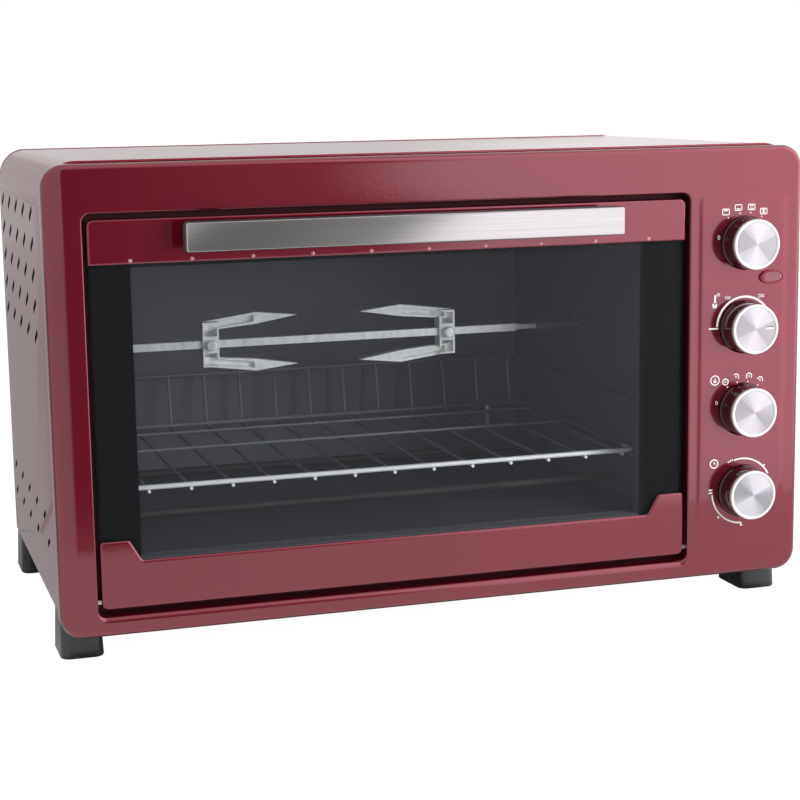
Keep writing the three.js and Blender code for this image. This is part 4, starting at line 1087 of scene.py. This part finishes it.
for control in ("heat", "thermostat", "function", "timer"):
    low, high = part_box(control + "_knob")
    x, _, z = middle(control + "_knob")
    body_profile = near(
        high.y, (3.2, 0), (21.1, 0), (21.5, -0.4), (21.5, -1.2), (21, -2), (20.3, -2.6), (20.4, -4.2)
    )
    body_profile += near(low.y, (20.1, 6), (20.2, 0.6), (19.6, 0), (1, 0))
    body = turned(control + "_knob_moulding", body_profile, x, z, [knob_gloss])
    settle(body, control + "_control", "red_plastic", control + "_knob")
    cap_low, cap_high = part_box(control + "_knob_cap")
    rim_radius = (cap_high.x - cap_low.x) / 2
    cap_profile = near(low.y, (-0.2, 0), (0, -0.4), radius=rim_radius)
    cap_profile += near(
        cap_low.y, (0, 1), (-0.3, 0.4), (-0.9, 0), (-1.7, 0.1), (-2.3, 0.6), (-2.6, 0.9), radius=rim_radius
    )
    cap_profile += near(cap_low.y, (10, 0.6), (0.1, 0.3))
    cap = turned(control + "_cap_spun", cap_profile, x, z, [spun, rim_polish], rim_rings=6)
    settle(cap, control + "_control", "spun_aluminium", control + "_knob_cap")
    coat_nodes(screw_metal, control + "_shaft")

# Legends: symbols, scales and plain figures printed round the knobs in white. Each is a thin
# raised shape; strokes follow a path, figures are text made into a mesh. Every place and size is
# in millimetres, counted across and up from the middle of its knob.
legend_paint = finish("legend_white", (0.82, 0.80, 0.80), (0.90, 0.88, 0.88), 0.45, 0.0, (500, 2))
paint_front = panel_low.y - 0.00006
paint_back = panel_low.y + 0.00010
figure_share = 1.4


def stroke(path, width, closed=False):
    """A printed line along (x, z) points: at each point a low rectangle as wide as the line, set
    across the mean of the two runs that meet there."""
    path = np.asarray(path, float)
    run = np.roll(path, -1, axis=0) - np.roll(path, 1, axis=0) if closed else np.gradient(path, axis=0)
    run = run / np.linalg.norm(run, axis=1, keepdims=True)
    aside = np.column_stack([-run[:, 1], run[:, 0]]) * width / 2
    edges = ((1, paint_front), (-1, paint_front), (-1, paint_back), (1, paint_back))
    rings = np.stack([upright(path + hand * aside, y) for hand, y in edges], 1)
    return loft(rings, wrap=closed, first=not closed, last=not closed)


class Legend:
    """The prints round one knob, whose middle is the place that all numbers count from."""

    def __init__(self, control):
        x, _, z = middle(control + "_knob")
        self.middle = np.array((x, z))
        self.parts = []

    def line(self, width, *points, closed=False):
        path = self.middle + np.array(points) * milli
        self.parts.append(stroke(path, width * milli, closed))

    def arc(self, width, x, z, radius, start, end, count):
        """Part of a circle between two angles in degrees, zero at the right."""
        angle = np.radians(np.linspace(start, end, count))
        self.line(width, *np.column_stack([x + radius * np.cos(angle), z + radius * np.sin(angle)]))

    def ring(self, width, x, z, radius):
        self.line(width, *circle(radius, x, z, 32), closed=True)

    def dot(self, radius, x, z):
        place = self.middle + np.array((x, z)) * milli
        self.parts.append(slab(circle(radius * milli, *place, 20), paint_front, paint_back))

    def figures(self, words, x, z, height):
        """Text turned to a thin mesh that faces the front, centred on (x, z)."""
        curve = bpy.data.curves.new("figures", "FONT")
        curve.body = words
        curve.size = height * milli * figure_share
        curve.align_x = "CENTER"
        curve.align_y = "CENTER"
        curve.resolution_u = 2
        curve.extrude = (paint_back - paint_front) / 2
        holder = placed("figures", curve)
        mesh = final(holder)
        points = np.array([vertex.co[:] for vertex in mesh.vertices])
        faces = [list(face.vertices) for face in mesh.polygons]
        bpy.data.objects.remove(holder)
        bpy.data.curves.remove(curve)
        flat = points[:, :2] + self.middle + np.array((x, z)) * milli
        self.parts.append((upright(flat, (paint_front + paint_back) / 2 - points[:, 2]), faces))


heat = Legend("heat")
sign_half = (2.9, 2.2)
sign_corner = 0.6
sign_places = (
    (-17.4, 24.9, 2.1, -4.6), (-6.5, 28.0, 1.4, -4.6), (5.0, 28.1, -0.7, -4.4), (15.7, 24.5, -1.8, -4.2),
)
sign_kinds = (("top",), ("floor",), ("top", "floor"), ("top", "floor", "fan"))
sign = outline(rectangle(-sign_half[0], -sign_half[1], *sign_half), sign_corner, steps=2)
for (x, z, dot_x, dot_z), kind in zip(sign_places, sign_kinds):
    heat.line(0.7, *sign + (x, z), closed=True)
    if "top" in kind:
        heat.line(0.7, (x - 1.7, z + 1.0), (x + 1.7, z + 1.0))
    if "floor" in kind:
        heat.line(0.7, (x - 1.7, z - 1.0), (x + 1.7, z - 1.0))
    if "fan" in kind:
        heat.dot(0.6, x, z)
    heat.dot(0.6, x + dot_x, z + dot_z)
heat.figures("0", -23.3, 4.7, 3.6)

thermostat = Legend("thermostat")
thermostat.arc(1.7, 0, 0, 24.0, 178, 18, 56)
thermostat.line(1.3, (-31.2, -0.4), (-22.8, -0.6))
thermostat.dot(2.1, -26.3, 18.0)
thermostat.line(1.5, (-26.2, 18.5), (-25.8, 26.2))
thermostat.ring(0.5, -23.2, 26.6, 1.0)
thermostat.figures("100", -15.1, 23.8, 2.5)
thermostat.figures("250", 14.6, 24.0, 2.8)

function = Legend("function")
function.ring(0.8, -25.2, 24.8, 3.7)
function.dot(1.3, -25.2, 24.0)
function.line(0.7, (-25.2, 24.0), (-25.2, 26.6))
function_places = (
    (-15.9, 23.0, 1.9, -4.2, 360), (-6.6, 26.5, 1.2, -4.4, 180),
    (5.0, 26.6, -0.9, -4.4, 270), (14.9, 23.0, -1.8, -4.2, 200),
)
hook_start = -40
for x, z, dot_x, dot_z, reach in function_places:
    function.arc(0.8, x, z, 2.4, hook_start, hook_start + reach, 20)
    function.dot(0.7, x, z)
    function.dot(0.6, x + dot_x, z + dot_z)
function.figures("0", -23.6, 6.2, 3.4)

timer = Legend("timer")
timer.ring(0.9, -25.1, 23.7, 3.4)
timer.line(0.6, (-25.1, 25.8), (-25.1, 23.6))
timer.line(0.6, (-25.1, 23.7), (-23.6, 23.7))
dot_turn = 27.2
for angle in np.radians((117, 113, 109)):
    timer.dot(0.7, dot_turn * math.cos(angle), dot_turn * math.sin(angle))
timer.arc(1.3, 0, 0, 26.4, 106, 28, 36)
timer.dot(0.8, 19.8, 19.4)
for rise in (2.2, -0.2):
    timer.line(1.1, (-29.5, rise), (-26.2, rise))
timer.arc(1.3, 0, 0, 26.6, 184, 270, 40)
timer.dot(0.9, -20.7, -20.6)
timer.dot(1.0, -0.2, -28.4)
legend_parts = heat.parts + thermostat.parts + function.parts + timer.parts
made("panel_legends", legend_parts, legend_paint, "cabinet", "red_enamel")

# Thermostat's mark: a white bar let into the cap and a dark groove beside it.
mark_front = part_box("thermostat_knob_cap")[0].y + 0.0002
mark_back = mark_front + 0.0012
mark_x, _, mark_z = middle("thermostat_knob")
mark_z += 0.0004
pointer_flat = rectangle(mark_x + 0.0083, mark_z - 0.0005, mark_x + 0.0150, mark_z + 0.0005)
groove_flat = rectangle(mark_x + 0.0088, mark_z + 0.0010, mark_x + 0.0158, mark_z + 0.0014)
made(
    "thermostat_pointer", [slab(pointer_flat, mark_front, mark_back)], legend_paint,
    "thermostat_control", "spun_aluminium",
)
made(
    "thermostat_groove", [slab(groove_flat, mark_front + 0.0002, mark_back)], black_plastic,
    "thermostat_control", "spun_aluminium",
)

# Controls behind the panel: two switches in black cases, the thermostat and the timer drum in
# plated cans, and the heat shield that keeps the cavity's heat from them. The motor and the
# spit's left rest are plated too.
coat_nodes(black_plastic, "heat_switch", "function_switch")
coat_nodes(galvanised, "thermostat_body", "timer_body", "heat_shield", "rotisserie_motor", "spit_rest")

# Indicator lamp: an oval lens of clear red plastic pushed through the panel, with a raised rim
# round its lightly sunk middle.
lens_red = finish(
    "red_lens", (0.18, 0.017, 0.040), (0.22, 0.023, 0.050), 0.18, 0.0, (150, 2),
    Coat_Weight=1.0, Coat_Roughness=0.05,
)
rim_red = finish(
    "red_lens_rim", (0.25, 0.0028, 0.019), (0.27, 0.0032, 0.021), 0.3, 0.0, (150, 2),
    Coat_Weight=0.3, Coat_Roughness=0.05,
)
lens_low, lens_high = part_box("indicator_lens")
lens_x, _, lens_z = middle("indicator_lens")
lens_a, lens_b = (lens_high.x - lens_low.x) / 2, (lens_high.z - lens_low.z) / 2
front = lens_low.y
rim_steps = near(lens_high.y, (0.2, 0)) + near(panel_low.y, (0, 0))
rim_steps += near(front, (0, 0.8), (0.4, 0.1), (0.9, 0), (1.3, 0.3), (1.5, 0.9))
lens_steps = near(front, (1.5, 1), (1.6, 0.5), (2.4, 0.2), (3.6, 0.1))
for name, steps, material in (
    ("indicator_rim", rim_steps, rim_red), ("indicator_window", lens_steps, lens_red),
):
    ovals = [upright(circle(lens_a - inset, lens_x, lens_z, 48, lens_b - inset), y) for inset, y in steps]
    made(name, [solid(ovals)], material, "cabinet", "red_lens", "indicator_lens")

# Rotisserie: a plated square spit with a round journal in the left rest and a round neck in the
# drive cup, which the motor behind the right wall turns.
bright_plate = finish(
    "bright_plate", (0.75, 0.75, 0.76), (1.0, 1.0, 1.0), 0.28, 0.15, (160, 3, (1, 0.3, 0.3)),
    (0.0001, 260, 2), Coat_Weight=1.0, Coat_Roughness=0.12,
)
spit_low, spit_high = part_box("spit_rod")
spit_middle = middle("spit_rod")
spit_half = 0.00325
spit_edge = 0.0005
square_end = 0.117
square_start = spit_low.x + 0.009
square_steps = ((square_start, 0.86), (square_start + 0.0006, 1.0), (square_end, 1.0))
bar_section = outline(rectangle(-spit_half, -spit_half, spit_half, spit_half), spit_edge, steps=4)
neck_profile = near(square_end, (4, -0.4), (3.4, 1.2), (2.2, 6)) + near(spit_high.x, (2.2, -0.8), (1.4, 0))
journal_profile = near(spit_low.x, (2.2, 0), (3, 0.8)) + near(square_start, (3, 1))
spit_parts = [solid([sideways(bar_section * scale + spit_middle[1:], x) for x, scale in square_steps])]
spit_parts += [solid(lathe(profile, 0, spit_middle, 32)) for profile in (neck_profile, journal_profile)]
made("spit_rod_plated", spit_parts, bright_plate, "spit", "chrome_wire", "spit_rod")

# The drive is a dark grey close to the cavity behind it: painted shade of the deep cavity.
drive_painted_shade = finish("drive_painted_shade", (0.13, 0.135, 0.145), (0.17, 0.175, 0.185), 0.34, 0.4, (200, 3))
drive_low, drive_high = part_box("spit_drive")
wall_inside = 0.1797
drive_profile = near(drive_low.x, (0.2, 7.3), (2.6, 7.3), (2.6, 0.6), (3.2, 0), (5, 0))
drive_profile += near(drive_low.x, (5.5, 0.5), (5.5, 13.5), (5, 14), (4, 14))
drive_profile += near(wall_inside, (4, -4), (11.2, -4), (12, -3.4), (12, 0), (4, 0))
drive_profile += near(drive_high.x, (4, 0), (0.2, 0))
made(
    "spit_drive_turned", [solid(lathe(drive_profile, 0, spit_middle, 40))], drive_painted_shade,
    "spit", "galvanised", "spit_drive",
)

# Spit forks: each is pressed from one strip, folded to a channel hub that slides on the square
# bar, with two barbed prongs and a screw that holds it.
fork_plate = finish(
    "fork_plate", (0.80, 0.80, 0.78), (1.0, 1.0, 0.98), 0.36, 0.15, (180, 4), (0.00003, 700, 3)
)
fork_edge = 0.0004
crease = 28.0


def flattened(work):
    bmesh.ops.dissolve_limit(work, angle_limit=math.radians(1.0), verts=work.verts, edges=work.edges)


for side_name in ("left", "right"):
    mesh = nodes["fork_" + side_name].data.copy()
    mesh.name = "fork_%s_folded" % side_name
    merged(mesh, flattened)
    mesh.materials.clear()
    fork = dressed("fork_%s_folded" % side_name, mesh, [fork_plate], crease)
    soft_edge = fork.modifiers.new("edge", "BEVEL")
    soft_edge.width = fork_edge
    soft_edge.segments = 2
    soft_edge.limit_method = "ANGLE"
    soft_edge.angle_limit = math.radians(crease)
    soft_edge.harden_normals = True
    settle(fork, side_name + "_fork", "chrome_wire", "fork_" + side_name)
    low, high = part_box("fork_screw_" + side_name)
    screw_profile = near(
        low.y, (0.3, 0.2), (2, 0), (4, 0.3), (4.5, 0.9), (4.5, 3.4), (4.1, 4), (2, 4)
    )
    screw_profile += near(high.y, (2, -0.5), (1.2, 0), (0.3, 0))
    screw_part = solid(lathe(screw_profile, 1, middle("fork_screw_" + side_name), 32))
    made(
        "fork_screw_%s_turned" % side_name, [screw_part], chrome,
        side_name + "_fork_screw", "chrome_wire", "fork_screw_" + side_name,
    )

# Wire rack: a welded grid in bright plated wire. Thirteen cross wires lie under the frame and
# turn up at the rear to carry a stop bar.
# The plate is near white at the rack's front and dark grey from 5 to 30 mm behind it: painted shade deeper
# in the cavity.
painted_shade_reach = (0.005, 0.030)
rack_plate, tree, shader = surfaced("rack_plate", 0.26, 0.2)
_, y, _ = tree.place()
painted_shade_depth = tree.slope(y, *(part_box("wire_rack")[0].y + reach for reach in painted_shade_reach))
tree.toned(painted_shade_depth, (0.97, 0.97, 0.97), (0.21, 0.215, 0.23), shader, (0.0, 1.0))
tree.relief(tree.grain(1200, 2), 0.000006, shader)
frame_wire = 0.0020
cross_wire = 0.0013
frame_corner = 0.005
weld = 0.0006
frame_z = 0.1245
rack_x0, rack_x1 = -0.244, 0.174
rack_y0, rack_y1 = panel_face + 0.045, panel_face + 0.300
cross_x0, cross_x1 = rack_x0 + 0.0192, rack_x1 - 0.010
cross_front = rack_y0 - 0.003
cross_z = frame_z - frame_wire - cross_wire + weld
bar_z = cross_z + 2 * cross_wire - weld
bar_shares = (0.58, 0.867)
stop_x = (rack_x0 + 0.0162, 0, rack_x1 - 0.007)
stop_y = rack_y1 + 0.010
stop_top = frame_z + 0.0435
stop_wire = cross_wire + 0.0004
bend_radius = 0.006


def tube(path, radius, sides=10, closed=False):
    """A round wire along a path: at each point a ring of (cos, sin) of the radius in the plane
    across the mean of the two runs that meet there. Its ends close with flat faces."""
    path = np.asarray(path, float)
    if closed:
        run = np.roll(path, -1, axis=0) - np.roll(path, 1, axis=0)
    else:
        run = np.gradient(path, axis=0)
    run /= np.linalg.norm(run, axis=1, keepdims=True)
    guide = np.where(np.abs(run[:, 2:]) > 0.9, (1.0, 0.0, 0.0), (0.0, 0.0, 1.0))
    across_way = np.cross(guide, run)
    across_way /= np.linalg.norm(across_way, axis=1, keepdims=True)
    over_way = np.cross(run, across_way)
    angle = np.arange(sides) * 2 * math.pi / sides
    cosine, sine = np.cos(angle)[None, :, None], np.sin(angle)[None, :, None]
    rings = path[:, None] + radius * (cosine * across_way[:, None] + sine * over_way[:, None])
    return loft(rings, wrap=closed, first=not closed, last=not closed)


frame_flat = outline(rectangle(rack_x0, rack_y0, rack_x1, rack_y1), frame_corner, steps=6)
wires = [tube(lying(frame_flat, frame_z), frame_wire, 16, closed=True)]
lean = math.atan2(stop_y - rack_y1, stop_top - cross_z)
bend_angle = np.linspace(0, math.pi / 2 - lean, 6)
curve_y = rack_y1 - bend_radius * math.tan((math.pi / 2 - lean) / 2) + bend_radius * np.sin(bend_angle)
curve_z = cross_z + bend_radius * (1 - np.cos(bend_angle))
top_y = curve_y[-1] + (stop_top - curve_z[-1]) * math.tan(lean)
cross_path = np.column_stack([
    np.concatenate([[cross_front], curve_y, [top_y]]),
    np.concatenate([[cross_z], curve_z, [stop_top + cross_wire]]),
])
wires += [tube(sideways(cross_path, x), cross_wire) for x in np.linspace(cross_x0, cross_x1, 13)]
for share in bar_shares:
    y = rack_y0 + share * (rack_y1 - rack_y0)
    wires.append(tube([(x, y, bar_z) for x in (rack_x0, 0, rack_x1)], cross_wire))
wires.append(tube([(x, stop_y - cross_wire, stop_top) for x in stop_x], stop_wire, 12))
made("wire_rack_welded", wires, rack_plate, "rack", "chrome_wire", "wire_rack", step=lambda work: None)

# Crumb tray: a shallow folded tray that slides over the cavity floor. It shows the CAD node as it
# is, in a worn dark coat.
tray_plate = finish(
    "tray_plate", (0.080, 0.082, 0.090), (0.090, 0.092, 0.100), 0.5, 0.3, (12, 3), (0.00001, 700, 2)
)
coat_nodes(tray_plate, "crumb_tray")
